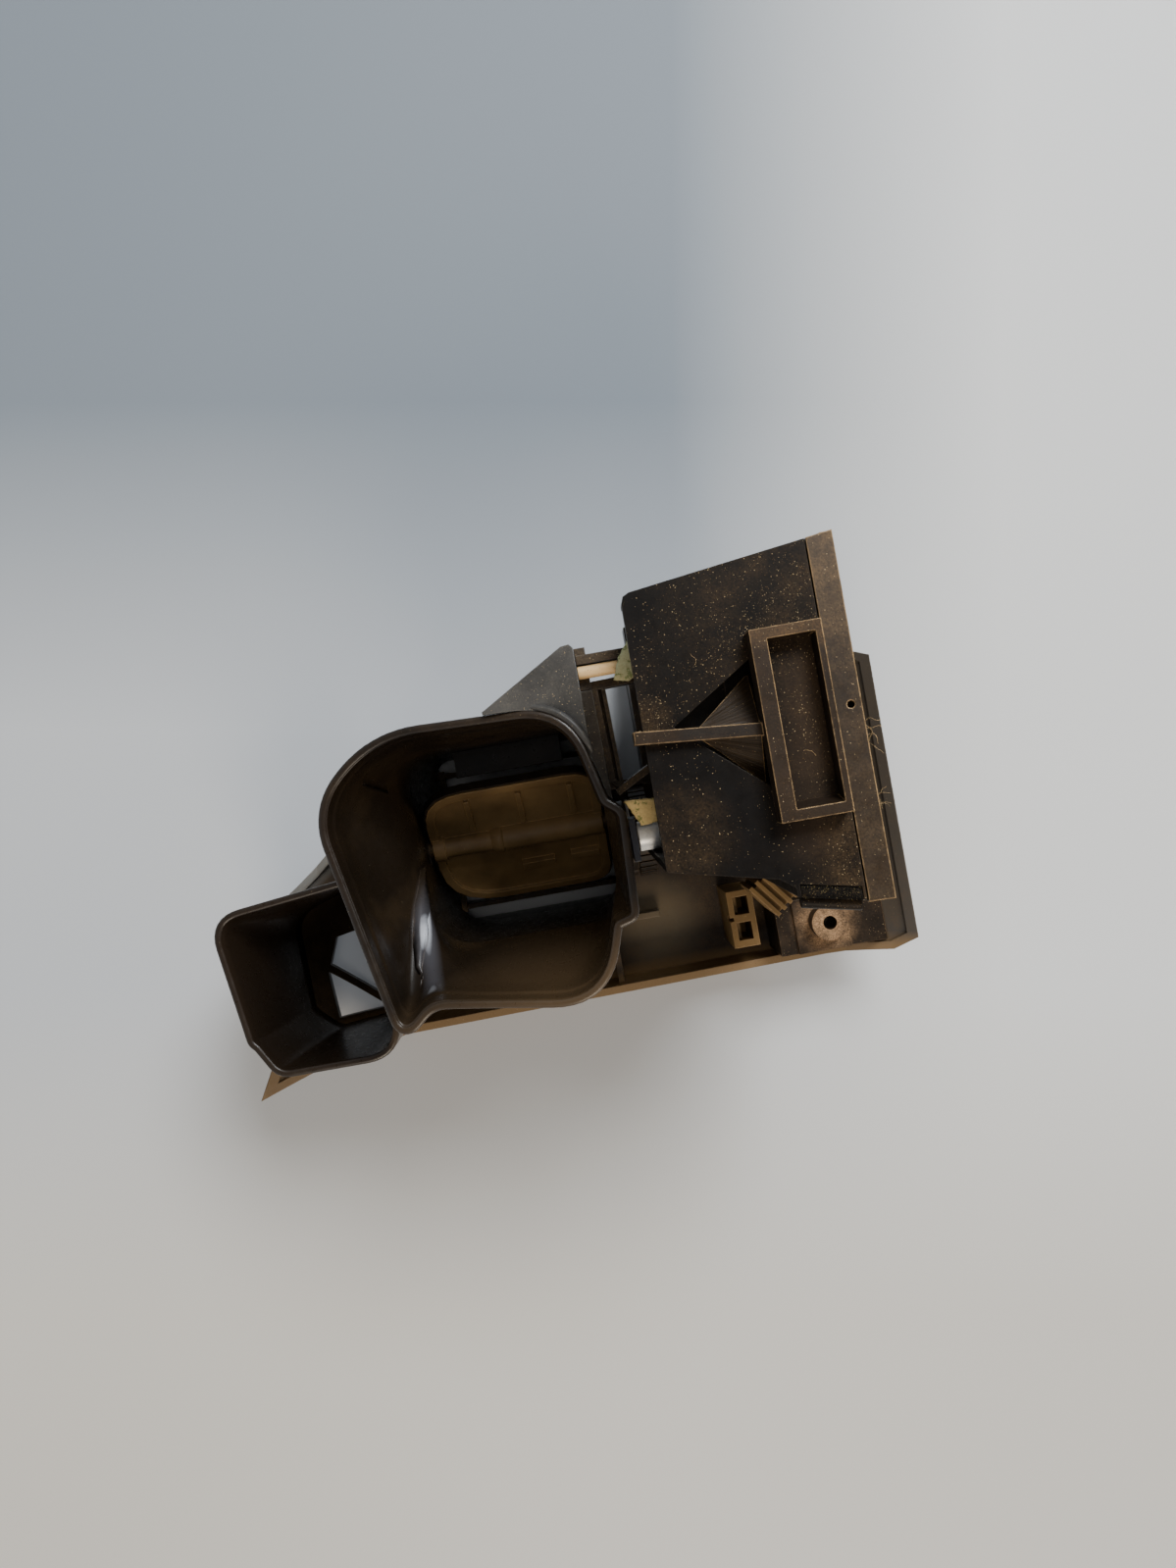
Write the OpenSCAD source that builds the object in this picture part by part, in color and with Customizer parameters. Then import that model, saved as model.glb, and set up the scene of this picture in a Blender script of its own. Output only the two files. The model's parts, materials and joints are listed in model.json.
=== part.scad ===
// Console module that holds a garage door opener, with a main air duct and a side air duct.
// It lies face down: the face is at the bottom, the backs of the ducts and of the case are on top.
// Origin: middle of the bounding box in X and Y, bottom of the face in Z.

/* [Face bezel] */
// Length of the face along X
face_l = 166; // [162:1:170]
// Thickness of the face skin
face_skin = 2.5; // [2:0.25:3]
// Height of the left tip above the middle of the face
left_rise = 34; // [28:1:36]
// Height of the right tip above the middle of the face
right_rise = 30; // [24:1:32]
// Level of the top of the return rim along the middle of the face
rim_top = 16; // [12:1:18]
// Thickness of the return rim
rim_t = 2; // [1.5:0.25:2.5]

/* [Main duct] */
// Wall thickness of the ducts
duct_wall = 1.6; // [1.2:0.1:1.8]
// Height of the main duct's mouth, at the middle of the mouth
mouth_z = 99; // [94:1:104]
// Rise of the mouth for each millimetre along X
mouth_slope = 0.18; // [0:0.02:0.24]
// Width of the throat along X
throat_w = 42.8; // [40:0.2:43]
// Width of the throat along Y
throat_d = 44; // [42:0.5:45]
// Level where the throat ends and the funnel begins
throat_top = 60; // [56:1:64]

/* [Damper] */
// Height of the damper's shaft
shaft_z = 45; // [43:0.5:46]
// Radius of the damper's shaft
shaft_r = 2; // [1.8:0.1:2.2]
// Tilt of the damper plate from closed, as it stands
damper_tilt = 45; // [20:5:70]
// Thickness of the damper plate
plate_t = 2; // [1.6:0.2:2.4]
// Length of the damper's crank, and of the thumbwheel's
crank_r = 9; // [7:0.5:9.5]
// Radius of the thumbwheel
wheel_r = 12; // [11:0.5:12]

/* [Outlet] */
// Chord of a vane
vane_chord = 8.4; // [7.6:0.2:8.6]
// Height of the vanes' pivots
vane_z = 8; // [7.8:0.1:8.2]

/* [Side duct] */
// Height of the side duct's mouth
side_z = 58; // [52:1:58]

/* [Opener case] */
// Level of the back panel of the case
case_top = 125; // [122:1:126]
// Level where the walls of the case end
case_bottom = 28; // [28:1:32]
// Thickness of the case's walls
case_wall = 1.8; // [1.5:0.1:2]
// Height of the pocket frame above the back panel
pocket_h = 5; // [4:0.5:6]
// Travel of the opener button
press_travel = 1.5; // [1:0.25:1.5]

/* [Mounting boss] */
// Outer radius of the screw boss
boss_r = 4.5; // [4:0.25:5]
// Radius of the screw hole
screw_hole_r = 1.7; // [1.5:0.1:1.9]
// Level of the mounting plate's upper side
bracket_z = 26; // [25:0.5:27]
// Height of the boss above the mounting plate
boss_h = 6; // [5:0.5:7]

/* [Hidden] */
$fn = 48;
eps = 0.01;
fit = 0.05;
clear = 0.3;

half_l = face_l / 2;
flat_from = -42.5;
flat_to = 37.5;

// Plan outline of the face, anticlockwise from the pointed left tip
face_outline = [[-half_l, -49], [-49, -43], [half_l - 5, -41], [half_l, -38], [half_l, 33],
    [half_l - 5, 36], [58, 45.5], [24, 45.5], [24, 13], [16.2, 13], [16.2, 33], [-31, 33], [-80, -8],
    [-79.5, -40.5]];

throat_x = -9.4;
throat_y = 4.5;
throat_l = throat_x - throat_w / 2;
throat_r = throat_x + throat_w / 2;
throat_lo = throat_y - throat_d / 2;
throat_hi = throat_y + throat_d / 2;

// Corners of the throat and of the mouth, anticlockwise: x, y and the length each corner is eased over
throat_corners = [[throat_l, 7, 2.8], [throat_l, 1, 2.8], [throat_l, throat_lo, 11], [throat_r, throat_lo, 6],
    [throat_r, -8, 0.5], [throat_r, -6, 0.5], [throat_r, 8, 1], [throat_r, 12, 1],
    [throat_r, throat_hi, 8], [throat_l, throat_hi, 8], [throat_l, 15, 2]];
mouth_corners = [[-35, -28.6, 1.6], [-27.5, -22.7, 4.5], [-17, -24.2, 3], [5, -27.2, 10],
    [9.4, -13, 1], [12.8, -12, 0.8], [13.6, 7, 1], [10.8, 9.3, 1], [6.5, 27.5, 9],
    [-31, 29.3, 9.5], [-44.5, 17.5, 8]];
// Levels of the funnel, each with the share of the way from the throat to the mouth
funnel_levels = [[0, 0], [0.18, 0.1], [0.36, 0.32], [0.55, 0.66], [0.72, 0.9], [1, 1]];

side_mouth_corners = [[-80, -3, 6], [-75.9, -31, 0.6], [-74.8, -32.2, 0.6], [-71, -38.8, 2.5],
    [-44.4, -38.8, 7], [-43.4, 0.9, 1.5]];
side_foot_corners = [[-71, -7, 5], [-70.6, -31, 0.5], [-70, -32.4, 0.5], [-66, -38, 2],
    [-45.5, -38, 5], [-45, 1, 2]];

// Damper plate, measured from the shaft: the far edge closes on a stop, so it is nearer
plate_gap = 0.9;
plate_near = plate_gap - throat_d / 2;
plate_far = 17;
plate_corners = [[throat_l + plate_gap, plate_near, 14], [throat_r - plate_gap, plate_near, 6],
    [throat_r - plate_gap, plate_far, 7], [throat_l + plate_gap, plate_far, 10]];

// Shaft, thumbwheel and rod
bush_flange = 0.4;
plate_back = -2.6;
closed_crank = 135;
wheel_y = -1;
wheel_z = wheel_r + 0.9;
lever_x = throat_r + duct_wall + bush_flange + clear;
lever_t = 1.8;
rod_x = lever_x + lever_t + clear;
rod_t = 1.8;
wheel_x = rod_x + rod_t + clear + 0.2;
wheel_t = 4.4;
crank_angle = closed_crank + damper_tilt;
crank_y = crank_r * cos(crank_angle);
crank_z = crank_r * sin(crank_angle);
crank_pin_r = 1.2;

// Outlet and its vanes
outlet_corner = 2;
outlet_corners = [[throat_l, throat_lo, outlet_corner], [throat_r, throat_lo, outlet_corner],
    [throat_r, throat_hi, outlet_corner], [throat_l, throat_hi, outlet_corner]];
vane_count = 5;
vane_pitch = throat_d / vane_count;
vane_t = 1.2;
vane_pin_r = 1;
link_pin_r = 0.7;
link_rise = 3.3;
link_x = throat_l + 1.2;
link_t = 1.4;
outlet_z0 = 0.8;
outlet_z1 = 15.5;

// Opener case: plan outline anticlockwise from its lower left corner
case_outline = [[19.6, -3.7], [38.3, -8.2], [40.8, -10], [41, -11.7], [52.4, -14.1], [52.4, 48.3],
    [21.4, 44.39], [20.3, 43.85], [19.88, 42.7]];
// Soft strip along the lower edge of the case's panel, and the ends of the lip below it
seal_outline = [[41.6, -12], [51.8, -14.15], [51.8, -11.8], [41.6, -9.65]];
lip_ends = [[41.8, -12.7], [51.6, -14.8]];
// Inner faces of the case's lower and upper walls at x
function lower_wall_y(x) = wall_line(case_outline[0], case_outline[1], x, case_wall);
function upper_wall_y(x) = wall_line(case_outline[6], case_outline[5], x, -case_wall);
function wall_line(a, b, x, d) = mix(a[1], b[1], (x - a[0]) / (b[0] - a[0])) + d * norm(b - a) / (b[0] - a[0]);
panel_t = 2;
tab_t = 2;
panel_under = case_top - panel_t;
vee_cut = [[25, 20.4], [39.9, 7.5], [39.9, 29.9]];
posts = [[29, -1], [47.6, -8], [30, 40.5], [47.6, 42]];
post_r = 3;
post_hole_r = 1.2;

remote_x = [25, 48];
remote_y = [3, 37.6];
remote_z = [32, 111];
remote_split = 36.5;
remote_wall = 1.6;

lamp_y = 1.3;
lamp_z = 88;
lamp_end = 24.6;

button_mid = [38, 18];
button_w = 16;
button_d = 20;

boss_at = [62.4, -31];

// ---------- helpers ----------

function mix(a, b, t) = a + (b - a) * t;
function unit(v) = v / norm(v);
function xy(p) = [p[0], p[1]];

// Points round a polygon whose corners are eased with curves: each corner is x, y, eased length
function eased(c, steps = 5) = [
    for (i = [0 : len(c) - 1])
        let (p = xy(c[i]), a = xy(c[(i + len(c) - 1) % len(c)]), b = xy(c[(i + 1) % len(c)]),
             s = p + unit(a - p) * c[i][2], e = p + unit(b - p) * c[i][2])
        for (k = [0 : steps])
            let (t = k / steps) s * pow(1 - t, 2) + p * 2 * t * (1 - t) + e * pow(t, 2)
];

// The ring moved outwards by d, measured along the normal at each point; it runs anticlockwise
function grown(ring, d) = [
    for (i = [0 : len(ring) - 1])
        let (v = unit(ring[(i + 1) % len(ring)] - ring[(i + len(ring) - 1) % len(ring)]))
        ring[i] + d * [v[1], -v[0]]
];

// A sharp-cornered outline moved inwards by d, edge by edge; it runs anticlockwise
function inset(ring, d) = [
    for (i = [0 : len(ring) - 1])
        let (p = ring[i], u = unit(p - ring[(i + len(ring) - 1) % len(ring)]),
             v = unit(ring[(i + 1) % len(ring)] - p), m = [-u[1], u[0]], n = [-v[1], v[0]])
        p + (m + n) * d / (1 + m * n)
];

function reversed(ring) = [for (i = [len(ring) - 1 : -1 : 0]) ring[i]];

// Underside of the face at x: flat in the middle, rising to both tips
function face_z(x) =
    x < flat_from ? left_rise * pow((flat_from - x) / (half_l + flat_from), 2) :
    x > flat_to ? right_rise * pow((x - flat_to) / (half_l - flat_to), 2) : 0;

face_steps = 9;
face_xs = concat([for (i = [0 : face_steps]) mix(-half_l, flat_from, i / face_steps)],
    [for (i = [0 : face_steps]) mix(flat_to, half_l, i / face_steps)]);

// A slab that follows the face, between two profiles given as [x, z] lists
module face_band(low, high) {
    translate([0, 50, 0]) rotate([90, 0, 0]) linear_extrude(100)
        polygon(concat(low, reversed(high)));
}

// Children without what lies below the inner side of the face's skin
module above_face() {
    difference() {
        children();
        face_band([for (x = face_xs) [x, -5]], [for (x = face_xs) [x, face_z(x) + face_skin]]);
    }
}

// A tube whose walls run through rings of equal length, listed from the bottom up
module loft_tube(outer, inner) {
    n = len(outer[0]);
    m = len(outer);
    function o(k, i) = k * n + i % n;
    function q(k, i) = (m + k) * n + i % n;
    walls = [for (k = [0 : m - 2]) for (i = [0 : n - 1]) each [
        [o(k, i), o(k + 1, i), o(k + 1, i + 1)], [o(k, i), o(k + 1, i + 1), o(k, i + 1)],
        [q(k, i), q(k + 1, i + 1), q(k + 1, i)], [q(k, i), q(k, i + 1), q(k + 1, i + 1)]]];
    ends = [for (i = [0 : n - 1]) each [
        [o(0, i), o(0, i + 1), q(0, i + 1)], [o(0, i), q(0, i + 1), q(0, i)],
        [o(m - 1, i), q(m - 1, i + 1), o(m - 1, i + 1)], [o(m - 1, i), q(m - 1, i), q(m - 1, i + 1)]]];
    polyhedron(points = [for (r = outer) each r, for (r = inner) each r],
        faces = concat(walls, ends), convexity = 6);
}

module block(from, to) {
    translate(from) cube(to - from);
}

// A straight bar in plan between two points, w wide, from level z0 to z1
module bar(a, b, w, z0, z1) {
    angle = atan2(b[1] - a[1], b[0] - a[0]);
    translate([a[0], a[1], z0]) rotate([0, 0, angle]) translate([0, -w / 2, 0])
        cube([norm(b - a), w, z1 - z0]);
}

// A cylinder along X
module rod_along_x(r, x0, x1, y, z) {
    translate([x0, y, z]) rotate([0, 90, 0]) cylinder(r = r, h = x1 - x0);
}

// Children turned about the damper's shaft from the closed position to the one it stands in
module on_shaft() {
    translate([0, throat_y, shaft_z]) rotate([damper_tilt, 0, 0]) children();
}

module screw(r, l, head_r, head_h) {
    difference() {
        union() {
            translate([0, 0, -l]) cylinder(r = r, h = l);
            cylinder(r = head_r, h = head_h);
        }
        translate([0, 0, head_h - 0.6]) block([-head_r * 0.6, -0.35, 0], [head_r * 0.6, 0.35, 2]);
        translate([0, 0, head_h - 0.6]) block([-0.35, -head_r * 0.6, 0], [0.35, head_r * 0.6, 2]);
    }
}

// ---------- face ----------

throat_ring = eased(throat_corners);
outlet_ring = eased(outlet_corners);
outlet_hole = grown(outlet_ring, duct_wall + 0.25);
side_hole = [[-67, -24], [-66.3, -36], [-53, -36.6], [-53, -13.5], [-64, -15]];

module face_bezel() {
    skin_low = [for (x = face_xs) [x, face_z(x)]];
    skin_high = [for (x = face_xs) [x, face_z(x) + face_skin]];
    rim_high = [for (x = face_xs) [x, max(rim_top, face_z(x) + 4)]];
    color("#1c1917") {
        difference() {
            union() {
                difference() {
                    intersection() {
                        face_band(skin_low, rim_high);
                        linear_extrude(60) polygon(face_outline);
                    }
                    intersection() {
                        face_band(skin_high, [for (x = face_xs) [x, 70]]);
                        translate([0, 0, -1]) linear_extrude(62) polygon(inset(face_outline, rim_t));
                    }
                }
                for (p = posts)
                    translate([p[0], p[1], face_skin / 2 + face_z(p[0])])
                        cylinder(r = post_r, h = case_bottom - face_skin / 2 - face_z(p[0]));
                // Stiffening ribs across the lower part of the face
                for (x = [-24, -8, 8])
                    block([x, -42, 1], [x + 1.6, -22, 11]);
                block([-36, -25, 1], [22, -23.4, 8]);
            }
            translate([0, 0, -1]) linear_extrude(30) polygon(outlet_hole);
            difference() {
                translate([0, 0, -1]) linear_extrude(40) polygon(side_hole);
                bar([-69, -20], [-51.5, -38.6], 1.6, -2, 41);
            }
            block([wheel_x - 0.8, wheel_y - 8.5, -1], [wheel_x + wheel_t + 0.8, wheel_y + 8.5, 10]);
            translate([button_mid[0], button_mid[1], 0])
                block([-button_w / 2 - clear, -button_d / 2 - clear, -1],
                    [button_w / 2 + clear, button_d / 2 + clear, 10]);
            for (p = posts)
                translate([p[0], p[1], case_bottom - 12]) cylinder(r = post_hole_r, h = 13);
        }
    }
}

module mount_bracket() {
    x0 = 50;
    x1 = 77.2;
    y0 = -38.4;
    y1 = -24.5;
    foot = 6;
    color("#3b3127") above_face() difference() {
        union() {
            block([x0, y0, bracket_z - 2], [x1, y1, bracket_z]);
            block([boss_at[0] - 8, y0, bracket_z - 1], [boss_at[0] + 5.5, y1, bracket_z + 1.2]);
            translate([boss_at[0], boss_at[1], bracket_z - 6]) cylinder(r = boss_r, h = boss_h + 6);
            block([x0, y0, foot], [x0 + 1.8, y1, bracket_z - 1]);
            block([x0, y0, foot], [x1, y0 + 1.8, bracket_z - 1]);
            block([x1 - 1.8, y0, foot], [x1, y1, bracket_z - 1]);
        }
        translate([boss_at[0], boss_at[1], 0]) cylinder(r = screw_hole_r, h = 60);
    }
}

// ---------- outlet ----------

function vane_y(i) = throat_lo + vane_pitch * (i - 0.5);

module outlet_frame() {
    color("#211d1a") difference() {
        translate([0, 0, outlet_z0]) linear_extrude(outlet_z1 - outlet_z0)
            polygon(grown(outlet_ring, duct_wall));
        translate([0, 0, -1]) linear_extrude(20) polygon(outlet_ring);
        for (i = [1 : vane_count])
            rod_along_x(vane_pin_r + fit, throat_l - 1.1, throat_r + 1.1, vane_y(i), vane_z);
    }
}

module vane(i) {
    color("#2a2521") translate([0, vane_y(i), vane_z]) {
        difference() {
            union() {
                block([throat_l + clear, -vane_t / 2, -vane_chord / 2],
                    [throat_r - clear, vane_t / 2, vane_chord / 2]);
                rod_along_x(vane_pin_r, throat_l - 0.9, throat_l + 2, 0, 0);
                rod_along_x(vane_pin_r, throat_r - 2, throat_r + 0.9, 0, 0);
            }
            block([throat_l, -2, 1.2], [link_x + link_t + clear, 2, 9]);
            if (i == 3)
                block([throat_x - 3, -2, -6], [throat_x + 3, 2, -vane_chord / 2 + 2.4]);
        }
        rod_along_x(link_pin_r, link_x - 0.2, link_x + link_t + clear + 1, 0, link_rise);
    }
}

module vane_knob() {
    color("#14110f") translate([0, vane_y(3), vane_z]) difference() {
        block([throat_x - 4.5, -2, -6.8], [throat_x + 4.5, 2, -vane_chord / 2 + 2.3]);
        block([throat_x - 6, -vane_t / 2 - fit, -vane_chord / 2], [throat_x - 3, vane_t / 2 + fit, 4]);
        block([throat_x + 3, -vane_t / 2 - fit, -vane_chord / 2], [throat_x + 6, vane_t / 2 + fit, 4]);
        for (s = [-1, 0, 1])
            block([throat_x + s * 2.6 - 0.4, -3, -7], [throat_x + s * 2.6 + 0.4, 3, -6.2]);
    }
}

module vane_link() {
    color("#191614") difference() {
        block([link_x, vane_y(1) - 1.3, vane_z + link_rise - 1.2],
            [link_x + link_t, vane_y(vane_count) + 1.3, vane_z + link_rise + 1.2]);
        for (i = [1 : vane_count])
            rod_along_x(link_pin_r + fit, link_x - 1, link_x + link_t + 1, vane_y(i), vane_z + link_rise);
    }
}

// ---------- main duct and damper ----------

module damper_barrel() {
    color("#1b1815") difference() {
        translate([0, 0, outlet_z1]) linear_extrude(throat_top - outlet_z1)
            polygon(grown(throat_ring, duct_wall));
        difference() {
            linear_extrude(throat_top + 1) polygon(throat_ring);
            // Stop rib that the damper closes on
            block([throat_l + 9, throat_y + plate_far - 1.2, shaft_z - 4.4],
                [throat_r - 8, throat_hi + 1, shaft_z + plate_back - clear]);
        }
        rod_along_x(shaft_r + 1.5, throat_l - 4, throat_r + 4, throat_y, shaft_z);
    }
}

module main_duct() {
    levels = [for (l = funnel_levels)
        let (corners = [for (i = [0 : len(throat_corners) - 1])
                mix(throat_corners[i], mouth_corners[i], l[1])],
             z = mix(throat_top, mouth_z, l[0]))
        [eased(corners), z, l[0]]];
    function lift(ring, l) = [for (p = ring) [p[0], p[1], l[1] + mouth_slope * (p[0] + 16) * l[2]]];
    color("#1a1613") loft_tube([for (l = levels) lift(grown(l[0], duct_wall), l)],
        [for (l = levels) lift(l[0], l)]);
}

module side_duct() {
    mouth = eased(side_mouth_corners);
    foot = eased(side_foot_corners);
    function level(t) = [for (i = [0 : len(mouth) - 1]) mix(foot[i], mouth[i], t)];
    function lift(ring, t) = [for (p = ring)
        [p[0], p[1], mix(face_z(p[0]) + face_skin + 0.1, side_z, t)]];
    shares = [0, 0.3, 0.65, 1];
    color("#191613") loft_tube([for (t = shares) lift(grown(level(t), duct_wall), t)],
        [for (t = shares) lift(level(t), t)]);
}

// Triangular ear between the duct's mouth and the frame of the opener case, with a web along the duct
module duct_ear() {
    right = 10.6;
    web_right = 12.9;
    tip = [9.9, 40.3];
    ear_z = 99.6;
    web_z = 95;
    color("#4a4846") {
        translate([0, 0, ear_z]) linear_extrude(2) difference() {
            polygon([[-8.5, 30.4], [-8.5, 24], [right, 14], [right, tip[1] - 0.8], tip, tip - [1.6, 0.2]]);
            polygon(grown(eased(mouth_corners), duct_wall + fit));
        }
        translate([0, 0, web_z]) linear_extrude(1.4) difference() {
            polygon([[4, 31.4], [4, 24], [web_right + 0.3, 9.2], [web_right, 31.4]]);
            polygon(grown(eased(mouth_corners), duct_wall + clear));
        }
        block([right - 2, 29.6, 66], [right, tip[1] - 0.8, ear_z + 0.4]);
        translate([0, 0, 64.2]) linear_extrude(2)
            polygon([[-4, 29.2], [right, 29.2], [right, tip[1] - 0.8]]);
    }
}

module damper_bushes() {
    color("#6b6660") for (side = [-1, 1]) difference() {
        x = throat_x + side * (throat_w / 2 + duct_wall / 2);
        union() {
            rod_along_x(shaft_r + 1.5 - 0.02, x - duct_wall / 2, x + duct_wall / 2, throat_y, shaft_z);
            rod_along_x(shaft_r + 2.4, x + side * (duct_wall + bush_flange) / 2 - bush_flange / 2,
                x + side * (duct_wall + bush_flange) / 2 + bush_flange / 2, throat_y, shaft_z);
        }
        rod_along_x(shaft_r + fit, x - 5, x + 5, throat_y, shaft_z);
    }
}

module damper_plate() {
    outline = eased(plate_corners);
    field = grown(outline, -2);
    color("#2e2419") on_shaft() difference() {
        union() {
            translate([0, 0, plate_back]) linear_extrude(plate_t) polygon(outline);
            // Raised lip round the plate
            translate([0, 0, plate_back + plate_t - eps]) linear_extrude(1) difference() {
                polygon(outline);
                polygon(field);
            }
            // Hub along the right part of the shaft, and the stiffening bars
            rod_along_x(shaft_r + 1.2, -13, throat_r - 1.2, 0, 0);
            rod_along_x(shaft_r + 1.2, throat_l + 1.2, throat_l + 4, 0, 0);
            rod_along_x(shaft_r + 0.6, throat_l + 3, -12.5, 0, 0);
            for (b = [[-10, -2, -10.5], [2, 9, -10]])
                block([b[0], b[2] - 1, plate_back + 1], [b[1], b[2] + 1, plate_back + plate_t + 1.6]);
            for (x = [-20, -8, 4])
                block([x, 4.2, plate_back + 1], [x + 1.2, 14, plate_back + plate_t + 1]);
        }
        rod_along_x(shaft_r, throat_l - 5, throat_r + 5, 0, 0);
    }
}

module damper_seal() {
    inner = eased(plate_corners);
    outer = grown(inner, plate_gap - 0.4);
    color("#100e0d") on_shaft() translate([0, 0, plate_back + 0.2]) linear_extrude(plate_t + 0.4)
        difference() {
            polygon(outer);
            polygon(inner);
            translate([throat_l - 1, -3.4]) square([3, 6.8]);
            translate([throat_r - 2, -3.4]) square([3, 6.8]);
        }
}

module damper_shaft() {
    color("#8a8378") rod_along_x(shaft_r, throat_l - duct_wall - 1.2, lever_x + lever_t + 0.2,
        throat_y, shaft_z);
}

// A flat shape drawn in Y and Z, t thick along X from x
module flat_across_x(x, t) {
    translate([x, 0, 0]) rotate([90, 0, 90]) linear_extrude(t) children();
}

// A flat crank with a pin that points along +X
module crank(x, t, hub_r, pin_to) {
    arm_w = 3.4;
    flat_across_x(x, t) difference() {
        union() {
            circle(r = hub_r);
            rotate(crank_angle) translate([0, -arm_w / 2]) square([crank_r, arm_w]);
            translate([crank_y, crank_z]) circle(r = 2.2);
        }
        circle(r = shaft_r);
    }
    rod_along_x(crank_pin_r, x + t / 2, pin_to, crank_y, crank_z);
}

module damper_lever() {
    color("#23201d") translate([0, throat_y, shaft_z])
        crank(lever_x, lever_t, 3.8, rod_x + rod_t);
}

module link_rod() {
    a = [throat_y + crank_y, shaft_z + crank_z];
    b = [wheel_y + crank_y, wheel_z + crank_z];
    lean = atan2(b[1] - a[1], b[0] - a[0]);
    color("#37322d") flat_across_x(rod_x, rod_t) difference() {
        union() {
            for (p = [a, b])
                translate(p) circle(r = 2.4);
            translate(a) rotate(lean) translate([0, -1.4]) square([norm(b - a), 2.8]);
        }
        for (p = [a, b])
            translate(p) circle(r = crank_pin_r + fit);
    }
}

module thumbwheel() {
    knurls = 36;
    color("#12100f") translate([0, wheel_y, wheel_z]) difference() {
        union() {
            rod_along_x(wheel_r, wheel_x, wheel_x + wheel_t, 0, 0);
            rod_along_x(crank_pin_r, rod_x, wheel_x + 1, crank_y, crank_z);
        }
        rod_along_x(1.5 + fit, wheel_x - 1, wheel_x + wheel_t + 1, 0, 0);
        for (k = [0 : knurls - 1])
            rotate([k * 360 / knurls, 0, 0])
                block([wheel_x - 1, wheel_r - 0.5, -0.3], [wheel_x + wheel_t + 1, wheel_r + 1, 0.3]);
    }
}

module wheel_axle() {
    color("#9a958c") rod_along_x(1.5, rod_x - 2.2, wheel_x + wheel_t + 2.4, wheel_y, wheel_z);
}

// Two cheeks on the face that hold the thumbwheel's axle
module wheel_cheeks() {
    cheek_t = 1.4;
    inner = rod_x - 0.5;
    outer = wheel_x + wheel_t + 0.6;
    color("#1d1a17") above_face() difference() {
        for (x = [inner - cheek_t, outer])
            block([x, wheel_y - 3.5, 1], [x + cheek_t, wheel_y + 3.5, wheel_z + 3]);
        rod_along_x(1.5, inner - 5, outer + 5, wheel_y, wheel_z);
    }
}

// ---------- bridge between duct and case ----------

module bridge_frame() {
    color("#26211c") {
        bar([10.9, 32.2], [22.4, 32.5], 1.8, 91, 94);
        bar([13.4, 32.5], [13.9, 13.2], 1.2, 84, 94);
        bar([15.2, 32.6], [15.6, 11.6], 0.8, 84, 92.5);
        bar([14.4, 10.8], [21.6, 14.6], 1.4, 84, 94);
        bar([13.6, 13.6], [16, 11.4], 1.2, 84, 92.5);
        difference() {
            bar([21.9, 32.4], [21.9, 44], 1.6, 88, 94);
            linear_extrude(100) polygon([[15, upper_wall_y(15)], [30, upper_wall_y(30)], [30, 50], [15, 50]]);
        }
        bar([11.8, 31.6], [11.8, 40], 2.2, 90, 94.9);
        bar([14.2, 32.4], [14.7, 12.6], 1.4, 84, 88);
        bar([10.8, 37.4], [24.4, 37.4], 1.8, 93.8, 97.6);
    }
}

module cross_rod() {
    color("#a8865c") rod_along_x(1.3, 10.8, 24.6, 35, 96.4);
}

// ---------- opener case ----------

module opener_case() {
    color("#1f1b18") difference() {
        union() {
            difference() {
                translate([0, 0, case_bottom]) linear_extrude(case_top - case_bottom)
                    polygon(case_outline);
                translate([0, 0, case_bottom - 1]) linear_extrude(panel_under - case_bottom + 1)
                    polygon(inset(case_outline, case_wall));
                // The left side is open below the back panel
                block([15, -2.3, case_bottom - 1], [23, 42, panel_under]);
                translate([0, 50, 0]) rotate([90, 0, 0]) linear_extrude(30)
                    polygon([[15, case_bottom - 1], [25.4, case_bottom - 1], [20.4, panel_under - 2],
                        [15, panel_under - 2]]);
            }
            // Tabs that rest on the posts of the face
            intersection() {
                translate([0, 0, case_bottom]) linear_extrude(tab_t) polygon(case_outline);
                for (p = posts)
                    block([p[0] - 3.2, p[1] - (p[1] < 20 ? 9 : 3.2), 0],
                        [p[0] + 3.2, p[1] + (p[1] < 20 ? 3.2 : 9), 60]);
            }
            // Rounded lip along the lower edge of the panel
            hull() for (e = lip_ends)
                rod_along_x(1.3, e[0] - 0.2, e[0] + 0.2, e[1], case_top - 3);
        }
        translate([0, 0, panel_under - 1]) linear_extrude(5) polygon(vee_cut);
        for (p = posts)
            translate([p[0], p[1], case_bottom - 1]) cylinder(r = 1.6, h = 5);
        // Step that the seal lies in
        translate([0, 0, case_top - 2]) linear_extrude(3) polygon(inset(seal_outline, -0.1));
        for (z = [44, 96])
            rod_along_x(1.1, 48, 56, 14, z);
    }
}

module case_seal() {
    color("#0d0c0b") translate([0, 0, case_top - 2]) linear_extrude(2.2) polygon(seal_outline);
}

module case_screws() {
    color("#8d8a84") for (p = posts)
        translate([p[0], p[1], case_bottom + tab_t]) screw(1.15, 10, 2.6, 1.8);
}

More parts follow.
